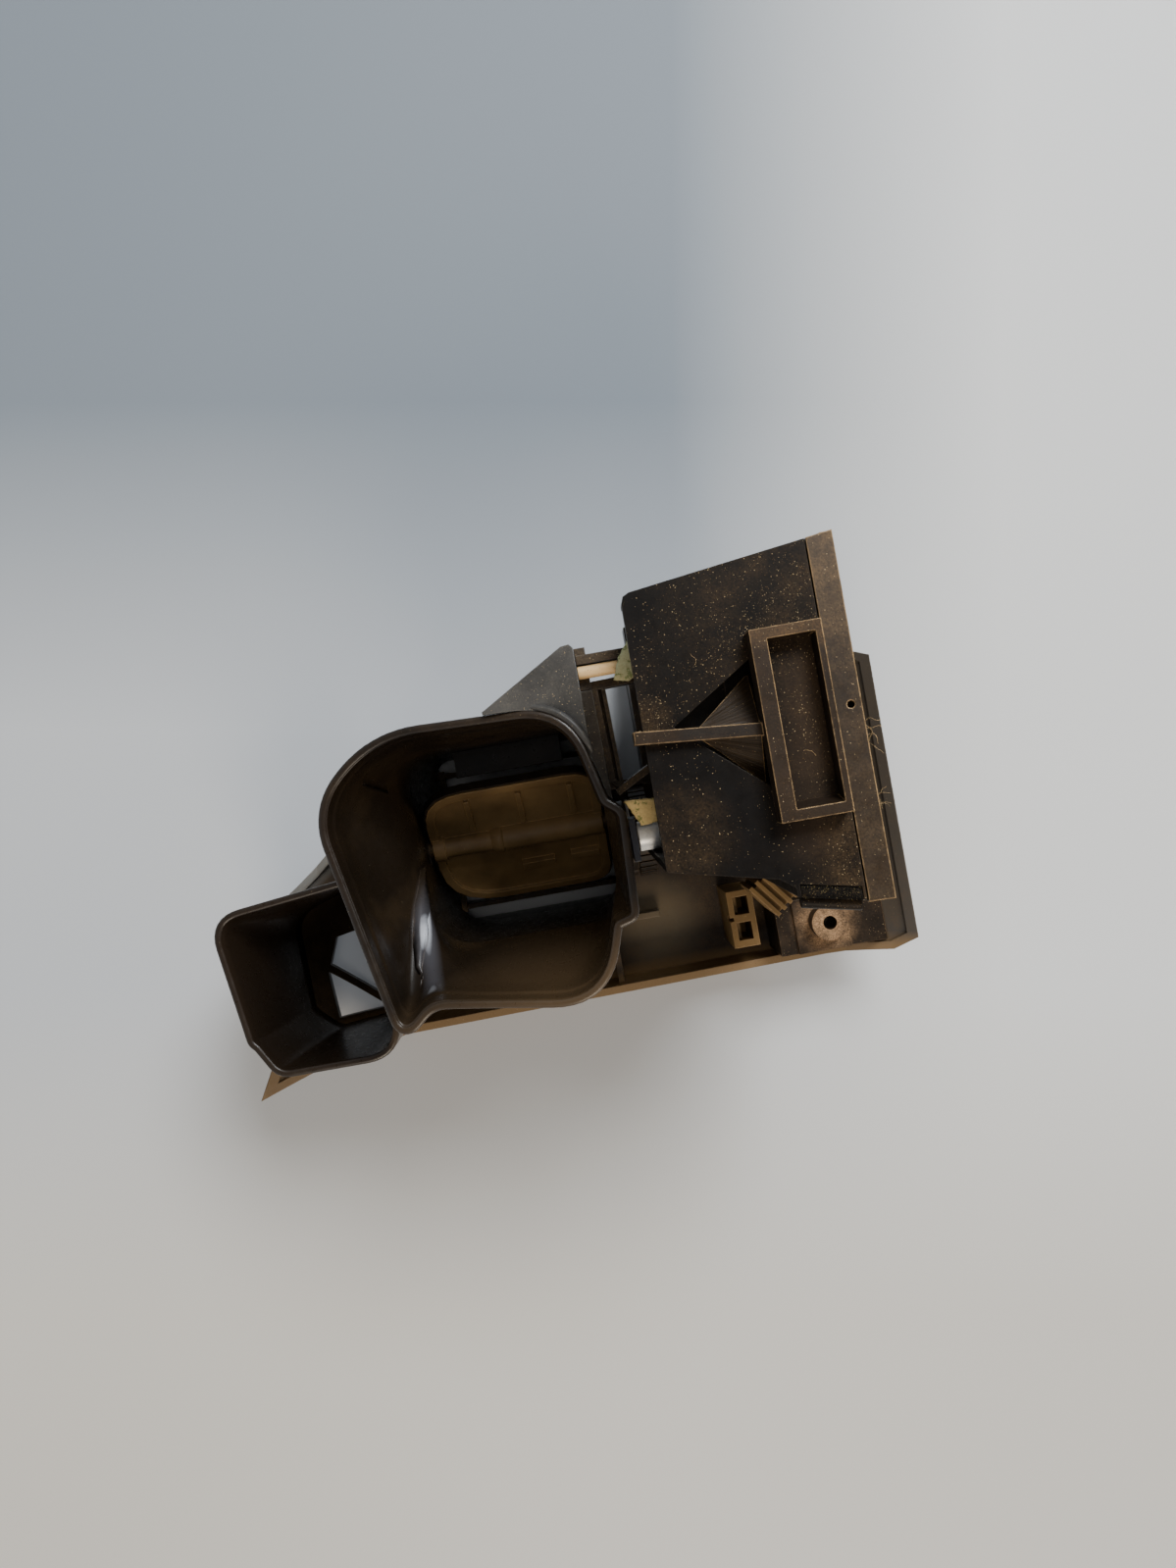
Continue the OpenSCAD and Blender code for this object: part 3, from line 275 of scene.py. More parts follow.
# The ends of the painted highlight on the ridge that runs down inside the main duct, and of the painted sheen
# beside it
RIDGE_HIGHLIGHT_LOW, RIDGE_HIGHLIGHT_HIGH = (-30.4, -3.5, 68.5), (-29.3, -21.2, 89.3)
RIDGE_GLOW_LOW, RIDGE_GLOW_HIGH = (-30.5, -3.0, 68), (-29.3, -21.4, 89.5)
FINISHES = {
    # Tints, all painted light: a grey sheen on the left end, a sheen on the inner face between the duct and
    # the tower, a paler sheen on the right flange and a tan warm highlight along the front edge
    "face_plastic": dict(colour=srgb(38, 30, 23), rough=0.36, film=0.18, specks=0.12, edge_wear_and_highlight=0.6, gloss=0.5,
                         wear_and_highlight_tone=srgb(120, 104, 84), dust=srgb(126, 98, 62),
                         zones=[(("side", (0, -1, 0), 12, 40), 0.2, 0.1)],
                         tints=[(("side", (-0.64, 0.77, 0), 41, 44), srgb(124, 122, 116), 0.75),
                                (("ball", (21, -28, 3), 15), srgb(122, 108, 84), 0.85),
                                (("side", (1, 0, 0.1), 61, 67), srgb(92, 86, 78), 0.75),
                                (("side", (0, -1, 0), 36.5, 40), srgb(158, 126, 84), 0.8)]),
    # The zone is the dust round the screw boss
    "bracket_plastic": dict(colour=srgb(28, 21, 14), rough=0.42, film=0.04, specks=0.15, edge_wear_and_highlight=0.5, gloss=0.2,
                            wear_and_highlight_tone=srgb(150, 118, 84),
                            zones=[(("line", (62.4, -31, 0), (62.4, -31, 60), 9.5), 0.95, 0.0)],
                            dust=srgb(200, 158, 116)),
    "outlet_plastic": dict(colour=BLACK, rough=0.35, film=0.2, specks=0.1, edge_wear_and_highlight=0.3),
    # Tints: brown patches, browner near side, a painted highlight along the ridge and a painted sheen beside
    # it, the side duct's inside
    "duct_plastic": dict(colour=srgb(32, 25, 18), rough=0.3, film=0.04, specks=0.01, edge_wear_and_highlight=0.55, grain=0.1,
                         gloss=0.4, wear_and_highlight_tone=srgb(76, 62, 50), edge=0.3, coat=0.1, dust=srgb(104, 80, 52),
                         cloudy=0.2,
                         tints=[(("patches", 60, 0.5, 0.66), srgb(56, 44, 30), 0.5),
                                (("side", (0.3, -1, 0), 12, 24), srgb(86, 68, 47), 0.75),
                                (("line", RIDGE_GLOW_LOW, RIDGE_GLOW_HIGH, 3.4), srgb(92, 92, 98), 0.85),
                                (("line", RIDGE_HIGHLIGHT_LOW, RIDGE_HIGHLIGHT_HIGH, 1.5), srgb(238, 241, 248), 0.95),
                                (("side", (-1, 0, 0.1), 50, 52), srgb(38, 29, 21), 0.9)],
                         zones=[(("side", (0.3, 1, 0.25), 44, 58), 0.2, 0.25)]),
    # The ear's grey above its plate is a painted sheen; below its plate the ear is brown
    "ear_plastic": dict(colour=srgb(60, 58, 56), rough=0.34, film=0.12, specks=0.3, edge_wear_and_highlight=0.5,
                        wear_and_highlight_tone=srgb(140, 138, 132), dust=srgb(150, 140, 122),
                        tints=[(("side", (0, 0, 1), 98.5, 97.5), srgb(44, 36, 28), 0.95)]),
    "frame_plastic": dict(colour=srgb(34, 29, 25), rough=0.36, film=0.25, specks=0.3, edge_wear_and_highlight=0.6,
                          wear_and_highlight_tone=srgb(120, 114, 106)),
    # The rod's pale tan is a painted warm reflection on dark plastic; the stray hairs share it as their own
    # colour
    "rod_plastic": dict(colour=srgb(252, 210, 150), rough=0.35, film=0.04, specks=0.2, edge_wear_and_highlight=0.2),
    "bush_plastic": dict(colour=srgb(116, 108, 98), rough=0.4, film=0.2, specks=0.1, edge_wear_and_highlight=0.2),
    # The damper is paler than its own brown: partly painted light, standing in for light reaching it inside
    # the duct
    "damper_plastic": dict(colour=srgb(132, 106, 70), rough=0.3, film=0.4, specks=0.05, edge_wear_and_highlight=1.0, gloss=0.6,
                           wear_and_highlight_tone=srgb(190, 150, 96), dust=srgb(140, 104, 62), grain=1.0, cloudy=0.4),
    "rubber_seal": dict(colour=srgb(22, 20, 18), rough=0.6, film=0.12, specks=0.05, edge_wear_and_highlight=0.1),
    "steel": dict(colour=srgb(120, 98, 72), rough=0.42, film=0.4, specks=0.05, edge_wear_and_highlight=0.2, metallic=0.7,
                  grain=0.5, wear_and_highlight_tone=srgb(190, 180, 164), dust=srgb(96, 78, 56), gloss=0.5),
    "lever_plastic": dict(colour=BLACK, rough=0.4, film=0.2, specks=0.1, edge_wear_and_highlight=0.4),
    "knob_plastic": dict(colour=srgb(26, 24, 22), rough=0.5, film=0.1, specks=0.08, edge_wear_and_highlight=0.3, grain=2.0),
    "vane_plastic": dict(colour=BLACK, rough=0.38, film=0.2, specks=0.1, edge_wear_and_highlight=0.35),
    # The tint is the pocket's floor; the zones are where dust has gathered on the panel
    "case_plastic": dict(colour=srgb(15, 13, 12), rough=0.42, film=0.015, specks=0.1, edge_wear_and_highlight=0.5, gloss=0.12,
                         wear_and_highlight_tone=srgb(84, 76, 66), edge=0.3, dust=srgb(130, 102, 68), cloudy=0.15,
                         tints=[(("line", (44, -6, 125), (50.5, 32, 125), 6.5), srgb(46, 36, 28), 0.85)],
                         zones=[(("side", (1, 0.35, 0), 38, 60), 0.12, 0.55),
                                (("ball", (24, 2, 125), 10), 0.15, 0.12),
                                (("ball", (30, 30, 125), 18), 0.03, 0.3),
                                (("ball", (21, 22, 125), 5), 0.2, 0.8),
                                (("side", (1, -0.4, 0), 45, 52), 0.16, 0.25)]),
    # Tints: painted shade on the webs that lie below the panel's top, dark rib. The zone is the dusty top bar
    # of the pocket
    "clip_plastic": dict(colour=srgb(38, 29, 21), rough=0.4, film=0.08, specks=0.22, edge_wear_and_highlight=1.0, gloss=0.22,
                         wear_and_highlight_tone=TAN, edge=0.32, lines=fan_lines, dust=srgb(126, 96, 62),
                         tints=[(("side", (0, 0, 1), 125.1, 124.4), srgb(20, 14, 10), 0.95),
                                (("line", (25, 19, 126.8), (39.5, 17.8, 126.8), 1.9), srgb(28, 26, 25), 0.9)],
                         zones=[(("side", (0.17, 0.985, 0), 37, 39.5), 0.4, 0.1)]),
    "cover_plastic": dict(colour=srgb(42, 32, 22), rough=0.4, film=0.13, specks=0.16, edge_wear_and_highlight=1.0, gloss=0.3,
                          wear_and_highlight_tone=TAN, edge=0.4, dust=srgb(150, 120, 82),
                          zones=[(("side", (0.2, 1, 0), 26, 58), 0.26, 0.05)]),
    "foam_strip": dict(colour=srgb(16, 14, 12), rough=0.9, film=0.05, specks=0.6, edge_wear_and_highlight=0.0, grain=3.0),
    "screw_steel": dict(colour=srgb(150, 146, 140), rough=0.32, film=0.1, specks=0.03, edge_wear_and_highlight=0.3,
                        metallic=1.0),
    "button_plastic": dict(colour=srgb(46, 42, 37), rough=0.45, film=0.1, specks=0.08, edge_wear_and_highlight=0.5),
    "remote_plastic": dict(colour=srgb(26, 24, 23), rough=0.45, film=0.08, specks=0.05, edge_wear_and_highlight=0.3),
    "circuit_board": dict(colour=srgb(30, 92, 54), rough=0.35, film=0.05, specks=0.04, edge_wear_and_highlight=0.1),
    "chip_plastic": dict(colour=srgb(24, 24, 25), rough=0.5, film=0.05, specks=0.03, edge_wear_and_highlight=0.1),
    "battery_shell": dict(colour=srgb(44, 44, 48), rough=0.3, film=0.05, specks=0.03, edge_wear_and_highlight=0.3),
    "copper": dict(colour=srgb(184, 120, 70), rough=0.3, film=0.05, specks=0.02, edge_wear_and_highlight=0.1, metallic=1.0),
    "switch_plastic": dict(colour=srgb(160, 48, 40), rough=0.4, film=0.06, specks=0.03, edge_wear_and_highlight=0.2),
    # The upper pad is paler, and both have green flecks
    "felt": dict(colour=srgb(226, 198, 136), rough=0.95, film=0.3, specks=0.35, edge_wear_and_highlight=0.0, grain=5.0,
                 dust=srgb(150, 116, 60),
                 tints=[(("ball", (21, 36, 100), 9), srgb(198, 198, 154), 1.0),
                        (("patches", 900, 0.56, 0.62), srgb(96, 124, 66), 0.75)]),
    "lamp_metal": dict(colour=srgb(248, 247, 243), rough=0.3, film=0.02, specks=0.04, edge_wear_and_highlight=0.1, metallic=0.2,
                       gloss=0.5),
    "lamp_glass": dict(colour=srgb(226, 230, 232), rough=0.1, film=0.1, specks=0.03, edge_wear_and_highlight=0.0, coat=1.0,
                       gloss=0.5),
    "shade_plastic": dict(colour=srgb(52, 56, 66), rough=0.32, film=0.08, specks=0.05, edge_wear_and_highlight=0.5,
                          wear_and_highlight_tone=srgb(110, 116, 130)),
    "tower_plastic": dict(colour=srgb(126, 98, 58), rough=0.42, film=0.3, specks=0.2, edge_wear_and_highlight=0.9,
                          wear_and_highlight_tone=srgb(196, 158, 112), dust=srgb(120, 92, 58)),
    "spring_steel": dict(colour=srgb(120, 98, 68), rough=0.36, film=0.3, specks=0.02, edge_wear_and_highlight=0.1, metallic=0.7),
    "contact_brass": dict(colour=srgb(196, 164, 92), rough=0.28, film=0.05, specks=0.02, edge_wear_and_highlight=0.1,
                          metallic=1.0),
}

slots = {m["slot"]: plastic("m_" + m["slot"], **FINISHES[m["slot"]]) for m in frame["record"]["materials"]}
slot_of = {p["node"]: p["material_slot"] for p in frame["record"]["subparts"]}
for name, obj in frame["nodes"].items():
    if not obj.material_slots:
        obj.data.materials.append(slots[slot_of[name]])
    for place in obj.material_slots:
        place.material = slots[slot_of[name]]


# ---------- mesh helpers ----------


def piece(name, verts, faces, slot, body="console"):
    """A smooth-shaded object from millimetre verts, which rides body and shows the material of slot."""
    mesh = bpy.data.meshes.new(name)
    mesh.from_pydata([tuple(c * MM for c in v) for v in verts], [], faces)
    mesh.validate()
    mesh.update()
    obj = bpy.data.objects.new(name, mesh)
    scene.collection.objects.link(obj)
    for poly in mesh.polygons:
        poly.use_smooth = True
    mesh.materials.append(slots[slot])
    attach(obj, body)
    return obj


def eased(corners, steps):
    """A closed ring of points round (x, y, easing) corners, each corner a curve that starts easing away."""
    ring = []
    for i, c in enumerate(corners):
        p = Vector(c[:2])
        a = Vector(corners[i - 1][:2])
        b = Vector(corners[(i + 1) % len(corners)][:2])
        s = p + (a - p).normalized() * c[2]
        e = p + (b - p).normalized() * c[2]
        for k in range(steps + 1):
            t = k / steps
            ring.append(s * (1 - t) ** 2 + p * 2 * t * (1 - t) + e * t ** 2)
    return ring


def grown(ring, d):
    """The ring moved outwards by d."""
    out = []
    for i, p in enumerate(ring):
        v = (ring[(i + 1) % len(ring)] - ring[i - 1]).normalized()
        out.append(p + d * Vector((v.y, -v.x)))
    return out


def blend_corners(a, b, t):
    """Corners a share t of the way from a to b."""
    return [[x + (y - x) * t for x, y in zip(p, q)] for p, q in zip(a, b)]


def curve_through(points, t):
    """A smooth curve through (x, y) points, read at x = t."""
    for i in range(len(points) - 1):
        (x0, y0), (x1, y1) = points[i], points[i + 1]
        if t <= x1 or i == len(points) - 2:
            px, py = points[max(i - 1, 0)]
            nx, ny = points[min(i + 2, len(points) - 1)]
            m0 = (y1 - py) / (x1 - px) * (x1 - x0)
            m1 = (ny - y0) / (nx - x0) * (x1 - x0)
            u = (t - x0) / (x1 - x0)
            return ((2 * u ** 3 - 3 * u ** 2 + 1) * y0 + (u ** 3 - 2 * u ** 2 + u) * m0
                    + (3 * u ** 2 - 2 * u ** 3) * y1 + (u ** 3 - u ** 2) * m1)


def bands(rows, n):
    """Quads between successive rows of n points that each close on themselves."""
    return [(r * n + k, r * n + (k + 1) % n, (r + 1) * n + (k + 1) % n, (r + 1) * n + k)
            for r in range(rows - 1) for k in range(n)]


def add_mesh(verts, faces, more_verts, more_faces):
    """Adds one mesh to another, in place."""
    faces += [tuple(len(verts) + k for k in face) for face in more_faces]
    verts += more_verts


def closed_loft(rings):
    """Verts and faces of a tube wall whose section is the closed list of rings."""
    n, m = len(rings[0]), len(rings)
    verts = [v for r in rings for v in r]
    faces = [(k * n + i, k * n + (i + 1) % n, ((k + 1) % m) * n + (i + 1) % n, ((k + 1) % m) * n + i)
             for k in range(m) for i in range(n)]
    return verts, faces


# ---------- the wall and rim of both ducts ----------

WALL = 1.6
# The rounded rim of a duct, from outside to inside: (offset, drop)
LIP = [(WALL, -0.55), (WALL - 0.06, -0.25), (WALL - 0.25, -0.05), (WALL / 2, 0.0), (0.25, -0.05),
       (0.06, -0.25), (0, -0.55)]


# ---------- main duct ----------

# Corners as (x, y, easing)
THROAT = [[-30.8, 7, 2.8], [-30.8, 1, 2.8], [-30.8, -17.5, 11], [12, -17.5, 6], [12, -8, 0.5], [12, -6, 0.5],
          [12, 8, 1], [12, 12, 1], [12, 26.5, 8], [-30.8, 26.5, 8], [-30.8, 15, 2]]
MOUTH = [[-35, -28.6, 4], [-28.5, -22.8, 3.4], [-17, -24.2, 3], [5, -27.2, 10], [9.4, -13, 1],
         [12.8, -12, 0.8], [13.6, 7, 1], [10.8, 9.3, 1], [6.5, 27.5, 9], [-31, 29.3, 9.5], [-44.5, 17.5, 8]]
# How far the funnel has opened, against the share of its height
FUNNEL = [(0, 0), (0.18, 0.1), (0.36, 0.32), (0.55, 0.66), (0.72, 0.9), (1, 1)]
THROAT_TOP, MOUTH_Z, MOUTH_SLOPE, MOUTH_LEVEL_X = 60, 99, 0.18, -16
CORNER_STEPS = 10


def mouth_z(x, t=1.0):
    """The height that the mouth's slope adds at x, a share t of the way up."""
    return MOUTH_SLOPE * (x - MOUTH_LEVEL_X) * t


def duct_ring(t, offset, drop=0.0):
    corners = blend_corners(THROAT, MOUTH, curve_through(FUNNEL, t))
    ring = grown(eased(corners, CORNER_STEPS), offset)
    base = THROAT_TOP + (MOUTH_Z - THROAT_TOP) * t + drop
    return [(p.x, p.y, base + mouth_z(p.x, t)) for p in ring]


def main_duct():
    """The funnel of the main duct, from the throat to its flared mouth."""
    rows, step_at, step_depth, step_length = 26, 0.86, 0.4, 0.024
    shares = [k / rows for k in range(rows)] + [0.985]

    def inside(t):
        # A shallow step runs round the inside a little below the mouth
        return -step_depth * (1 - min(max((t - step_at + step_length / 2) / step_length, 0), 1))

    rings = [duct_ring(t, WALL) for t in shares]
    rings += [duct_ring(1, offset, drop) for offset, drop in LIP]
    inner = sorted(shares + [step_at - 0.02, step_at - 0.006, step_at + 0.006, step_at + 0.02], reverse=True)
    rings += [duct_ring(t, inside(t)) for t in inner]
    verts, faces = closed_loft(rings)
    obj = piece("main_duct_skin", verts, faces, "duct_plastic")
    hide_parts("main_duct")


def ear_collar():
    """The soft raised edge where the ear meets the outside of the duct's rim, grey with the ear's painted
    sheen.
    """
    ear_from_x, ear_from_y, out, below, thick = -19, 18.5, 0.7, 0.9, 0.85
    ring = grown(eased(MOUTH, CORNER_STEPS), WALL + out)
    path = [(p.x, p.y, MOUTH_Z + mouth_z(p.x) - below) for p in ring if p.y > ear_from_y and p.x > ear_from_x]
    verts, faces = tube(path, thick, 8, taper=lambda t: min(1, 0.3 + 2.2 * min(t * 2, 1 - t)))
    piece("ear_collar", verts, faces, "ear_plastic")


# ---------- side duct ----------

SIDE_MOUTH = [[-80, -3, 6], [-75.9, -31, 0.6], [-74.8, -32.2, 0.6], [-71, -38.8, 2.5], [-44.4, -38.8, 7],
              [-43.4, 0.9, 1.5]]
SIDE_FOOT = [[-71, -7, 5], [-70.6, -31, 0.5], [-70, -32.4, 0.5], [-66, -38, 2], [-45.5, -38, 5], [-45, 1, 2]]
SIDE_Z, SKIN, FLAT_FROM, HALF_L, LEFT_RISE = 58, 2.5, -42.5, 83, 34
SIDE_CORNER_STEPS, SEAT_GAP = 8, 0.1


def face_z(x):
    """Height of the curved face, which rises to the left."""
    return LEFT_RISE * ((FLAT_FROM - x) / (HALF_L + FLAT_FROM)) ** 2 if x < FLAT_FROM else 0


def side_duct():
    """The smaller open duct on the left, standing on the curved face."""
    def ring(t, offset, drop=0.0):
        pts = grown(eased(blend_corners(SIDE_FOOT, SIDE_MOUTH, t), SIDE_CORNER_STEPS), offset)
        out = []
        for p in pts:
            low = face_z(p.x) + SKIN + SEAT_GAP
            out.append((p.x, p.y, low + (SIDE_Z - low) * t + drop))
        return out

    rows = 12
    shares = [k / rows for k in range(rows)] + [0.97]
    rings = [ring(t, WALL) for t in shares]
    rings += [ring(1, offset, drop) for offset, drop in LIP]
    rings += [ring(t, 0) for t in shares[::-1]]
    verts, faces = closed_loft(rings)
    obj = piece("side_duct_skin", verts, faces, "duct_plastic")
    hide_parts("side_duct")


# ---------- tubes, coiled spring, damper hub ----------


def tube(path, radius, sides=8, taper=None):
    """Verts and faces of a round bar along path, closed at both ends. taper scales the radius along it."""
    pts = [Vector(p) for p in path]
    verts, faces = [], []
    side = None
    for i, p in enumerate(pts):
        d = (pts[min(i + 1, len(pts) - 1)] - pts[max(i - 1, 0)]).normalized()
        if side is None:
            side = d.orthogonal().normalized()
        side = (side - d * side.dot(d)).normalized()
        other = d.cross(side)
        r = radius * (taper(i / (len(pts) - 1)) if taper else 1)
        verts += [tuple(p + (side * math.cos(a) + other * math.sin(a)) * r)
                  for a in (k * math.tau / sides for k in range(sides))]
    faces += bands(len(pts), sides)
    faces += [tuple(range(sides))[::-1], tuple(len(verts) - sides + k for k in range(sides))]
    return verts, faces


def coil_spring():
    """The button's spring, with a nearly flat turn at each end."""
    x, y, z0, height, r, wire, turns, steps = 38, 18, 6, 7.6, 3.4, 0.3, 6.5, 156
    flat_share, end_rise = 0.1, 0.25
    z_from, z_to = z0 + wire, z0 + height - wire
    path = []
    for k in range(steps + 1):
        t = k / steps
        climb = min(max((t - flat_share) / (1 - 2 * flat_share), 0), 1)
        a = t * turns * math.tau
        z = z_from + (z_to - z_from) * climb + end_rise * (t - climb)
        path.append((x + r * math.cos(a), y + r * math.sin(a), z))
    verts, faces = tube(path, wire, 8)
    obj = piece("coil_spring", verts, faces, "spring_steel")
    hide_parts("button_spring")
    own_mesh(obj)


def damper_hub_end():
    """The rounded end of the damper's hub, where it leaves the shaft."""
    y, z = 4.5, 45
    profile = [(-12.9, 0), (-12.9, 3.3), (-14.0, 3.3), (-14.9, 3.05), (-15.6, 2.75), (-16.1, 2.45),
               (-16.3, 2.1)]
    n = 28
    turn = [k * math.tau / n for k in range(n)]
    verts = [(x, y + r * math.cos(a), z + r * math.sin(a)) for x, r in profile for a in turn]
    faces = bands(len(profile), n)
    faces.append(tuple(len(verts) - n + k for k in range(n)))
    piece("damper_hub_end", verts, faces, "damper_plastic", body="damper")


# ---------- pads, flock and stray fibres ----------


def torn_pad(name, outline, z0, thick, node_name):
    """A thin torn felt pad: a ragged outline, a lumpy crowned top, and loose fibres along its edge."""
    point_gap, rim_layers = 0.35, 9
    edge = []
    for i, a in enumerate(outline):
        b = outline[(i + 1) % len(outline)]
        count = max(2, int(math.dist(a, b) / point_gap))
        for k in range(count):
            t = k / count
            edge.append([a[0] + (b[0] - a[0]) * t, a[1] + (b[1] - a[1]) * t])
    mid = [sum(p[i] for p in edge) / len(edge) for i in (0, 1)]
    ragged = [rng.uniform(-0.16, 0.04) for _ in edge]
    n = len(edge)
    verts = []

    def put(share, z, jitter):
        for i, p in enumerate(edge):
            d = math.dist(p, mid)
            k = share * (1 + ragged[i] / d)
            x, y = mid[0] + (p[0] - mid[0]) * k, mid[1] + (p[1] - mid[1]) * k
            verts.append((x, y, z + rng.uniform(-jitter, jitter)))

    shares = [1 - k / rim_layers for k in range(rim_layers)]
    for share in reversed(shares):
        put(share, z0 + 0.05, 0.02)
    put(1.0, z0 + thick * 0.35, 0.05)
    put(0.985, z0 + thick * 0.62, 0.06)
    for share in shares:
        put(0.965 * share, z0 + thick * (0.78 + 0.2 * (1 - share ** 3)), 0.07)
    faces = bands(len(verts) // n, n)
    faces += [tuple(range(n))[::-1], tuple(len(verts) - n + k for k in range(n))]
    pad = piece(name, verts, faces, "felt")
    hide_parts(node_name)

    fibre_r, sunk, sag = 0.035, 0.3, 0.15
    fibre_verts, fibre_faces = [], []
    for p in edge[::2]:
        out = Vector((p[0] - mid[0], p[1] - mid[1], 0)).normalized()
        start = Vector((p[0], p[1], z0 + thick * rng.uniform(0.2, 0.7))) - out * sunk
        lean = out * rng.uniform(0.3, 0.75) + Vector((rng.uniform(-0.4, 0.4), rng.uniform(-0.4, 0.4),
                                                      rng.uniform(-0.1, 0.3)))
        path = [start + lean * t + Vector((0, 0, -sag * t * t)) for t in (0, 0.35, 0.7, 1)]
        add_mesh(fibre_verts, fibre_faces, *tube(path, fibre_r, 4, taper=lambda t: 1 - 0.6 * t))
    piece(name + "_fibres", fibre_verts, fibre_faces, "felt")


def flocked_strip():
    """The strip along the lower edge of the case's panel: a soft base with short upright fibres and grit."""
    x0, x1, foot_y, depth, slope, z0, top = 41.65, 51.75, -11.95, 2.2, -0.2108, 123, 125.0
    nx, ny, crown_h, lump = 60, 12, 0.25, 0.07
    verts, faces = [], []
    for j in range(ny + 1):
        for i in range(nx + 1):
            crown = 1 - (2 * j / ny - 1) ** 2
            x = x0 + (x1 - x0) * i / nx
            z = top - 0.3 + crown_h * crown + rng.uniform(-lump, lump)
            verts.append((x, foot_y + slope * (x - x0) + depth * j / ny, z))
    base = len(verts)
    verts += [(v[0], v[1], z0) for v in verts[:base]]
    w = nx + 1
    for j in range(ny):
        for i in range(nx):
            a = j * w + i
            faces += [(a, a + 1, a + w + 1, a + w), (base + a, base + a + w, base + a + w + 1, base + a + 1)]
    for i in range(nx):
        last = ny * w + i
        faces += [(i, base + i, base + i + 1, i + 1), (last, last + 1, base + last + 1, base + last)]
    for j in range(ny):
        a, b = j * w, j * w + nx
        faces += [(a, a + w, base + a + w, base + a), (b, base + b, base + b + w, b + w)]
    strip = piece("flocked_strip", verts, faces, "foam_strip")
    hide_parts("case_seal")
    for name, count, slot, wide in (("flocked_strip_fibres", 1100, "foam_strip", 0.045),
                                    ("flocked_strip_grit", 70, "felt", 0.05)):
        verts, faces = [], []
        for _ in range(count):
            x, across = rng.uniform(x0, x1), rng.uniform(0.02, 0.98)
            foot = Vector((x, foot_y + slope * (x - x0) + depth * across, top - 0.25))
            tip = foot + Vector((rng.uniform(-0.28, 0.28), rng.uniform(-0.3, 0.3), rng.uniform(0.3, 0.62)))
            path = [foot, foot.lerp(tip, 0.5), tip]
            add_mesh(verts, faces, *tube(path, wide, 3, taper=lambda t: 1 - 0.75 * t))
        piece(name, verts, faces, slot)


def stray_hairs():
    """Curled lint hairs: two tufts on the outer edge of the end cover, one hair on the case's panel and one
    in the pocket."""
    steps, hair_r, panel_to_x = 10, 0.022, 55
    verts, faces = [], []
    for foot, reach, count in (((57.2, 14, 124.9), 3.2, 6), ((57.2, 3, 124.9), 2.2, 5),
                               ((30, 33, 125.02), 2.4, 1), ((46, 14, 125.02), 2.6, 1)):
        for _ in range(count):
            p = Vector(foot) + Vector((0, rng.uniform(-2.2, 2.2), 0))
            heading = rng.uniform(-1.0, 1.0)
            path = [p.copy()]
            for _ in range(steps):
                heading += rng.uniform(-0.55, 0.55)
                ahead = Vector((math.cos(heading), math.sin(heading), rng.uniform(-0.06, 0.12)))
                p = p + ahead * reach / steps
                # Over the panel a hair doesn't dip into it
                p.z = max(p.z, foot[2]) if foot[0] < panel_to_x else p.z
                path.append(p.copy())
            add_mesh(verts, faces, *tube(path, hair_r, 4))
    piece("stray_hairs", verts, faces, "rod_plastic")


main_duct()
side_duct()
coil_spring()
damper_hub_end()
ear_collar()
torn_pad("felt_upper", [(17.2, 32.2), (20, 31.5), (24.5, 33.2), (24.5, 39.8), (21.2, 39.4), (18.8, 36.4)],
         99.4, 1.5, "felt_pad_upper")
torn_pad("felt_lower", [(15.2, 9.1), (17.9, 3.6), (24.1, 4.2), (24.1, 8.5)], 94.6, 1.5, "felt_pad_lower")
flocked_strip()
stray_hairs()


# ---------- floor, light and camera ----------


# Directions of the floor's painted light falloff: away from the viewer, and to the viewer's right
AHEAD, RIGHT = (0.17, 0.98, 0), (0.98, -0.17, 0)


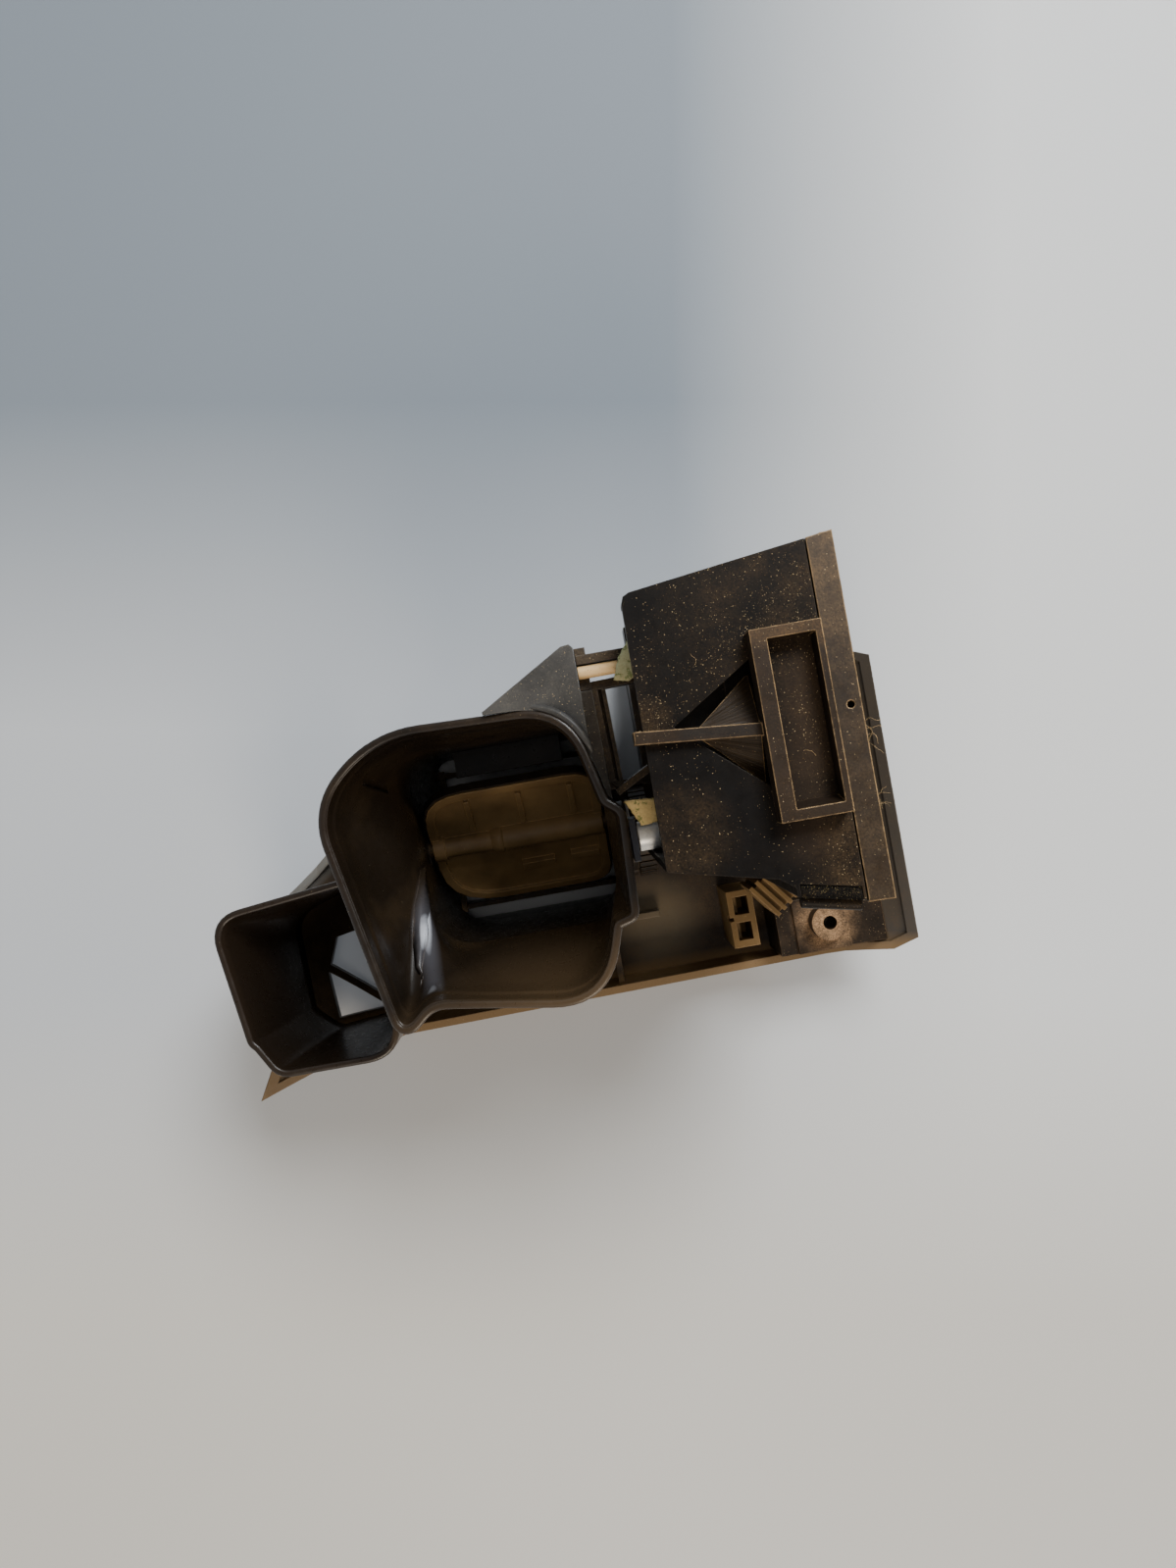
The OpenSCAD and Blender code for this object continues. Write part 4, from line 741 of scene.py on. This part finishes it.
def floor():
    """A plain pale floor whose tone changes softly as painted light and shade: darker and bluer ahead,
    lighter to the right, warmer in front.
    """
    mesh = bpy.data.meshes.new("floor")
    half = 1.6
    corners = [(-half, -half, 0), (half, -half, 0), (half, half, 0), (-half, half, 0)]
    mesh.from_pydata(corners, [], [(0, 1, 2, 3)])
    obj = bpy.data.objects.new("floor", mesh)
    scene.collection.objects.link(obj)
    mat, nt, shader, at, _ = material("m_floor")
    ahead, right = axis_of(nt, at, AHEAD), axis_of(nt, at, RIGHT)
    tone = mix(nt, ramp(nt, noise(nt, at, 3, 3), 0.3, 0.7), srgb(196, 199, 203), srgb(204, 205, 206))
    tone = mix(nt, ramp(nt, ahead, 0.03, 0.12), tone, srgb(130, 138, 146))
    tone = mix(nt, ramp(nt, right, 0.03, 0.12, 0, 0.9), tone, srgb(232, 231, 228))
    tone = mix(nt, ramp(nt, ahead, -0.04, -0.13), tone, srgb(216, 211, 202))
    nt.links.new(tone, shader.inputs["Base Color"])
    shader.inputs["Roughness"].default_value = 0.6
    mesh.materials.append(mat)


def area(name, at, size, power, colour, aim=(0.0, 0.0, 0.05), mirrored=True):
    """A round soft light that faces aim. One that isn't mirrored leaves no highlight."""
    data = bpy.data.lights.new(name, "AREA")
    data.shape, data.size, data.energy, data.color = "DISK", size, power, colour
    obj = bpy.data.objects.new(name, data)
    obj.location = at
    obj.rotation_euler = (Vector(aim) - Vector(at)).to_track_quat("-Z", "Y").to_euler()
    obj.visible_glossy = mirrored
    scene.collection.objects.link(obj)


def studio_sky():
    """A dim world that is brightest near the horizon, so that the ducts' inner walls stay dark."""
    horizon, overhead, to_horizon, to_overhead = 0.2, 0.95, 0.6, 0.16
    world = bpy.data.worlds.new("studio")
    world.use_nodes = True
    sky = world.node_tree
    height = node(sky, "SeparateXYZ", {0: node(sky, "TexCoord").outputs["Generated"]}).outputs["Z"]
    background = sky.nodes["Background"]
    background.inputs[0].default_value = (0.86, 0.92, 1.0, 1)
    sky.links.new(ramp(sky, height, horizon, overhead, to_horizon, to_overhead), background.inputs[1])
    scene.world = world


def camera_above():
    """The photograph's view: straight down, turned ten degrees, from 325 mm above the floor."""
    camera = bpy.data.objects.new("camera", bpy.data.cameras.new("camera"))
    camera.location = (0.009, 0.0135, 0.325)
    camera.rotation_euler = (0, 0, math.radians(-10))
    camera.data.lens = 27.0
    camera.data.sensor_width = 36
    camera.data.clip_start = 0.01
    scene.collection.objects.link(camera)
    scene.camera = camera


floor()
area("key", (0.4, 0.6, 0.95), 0.5, 13.0, (0.95, 0.98, 1.0))
area("overhead", (0.03, 0.0, 1.1), 0.3, 0.9, (1.0, 0.97, 0.92), mirrored=False)
area("window", (0.55, 0.62, 0.16), 0.4, 2.4, (0.84, 0.91, 1.0), aim=(-0.02, -0.01, 0.08))
area("fill", (0.0, -0.8, 0.85), 0.5, 5.2, (1.0, 0.86, 0.68))
studio_sky()
camera_above()
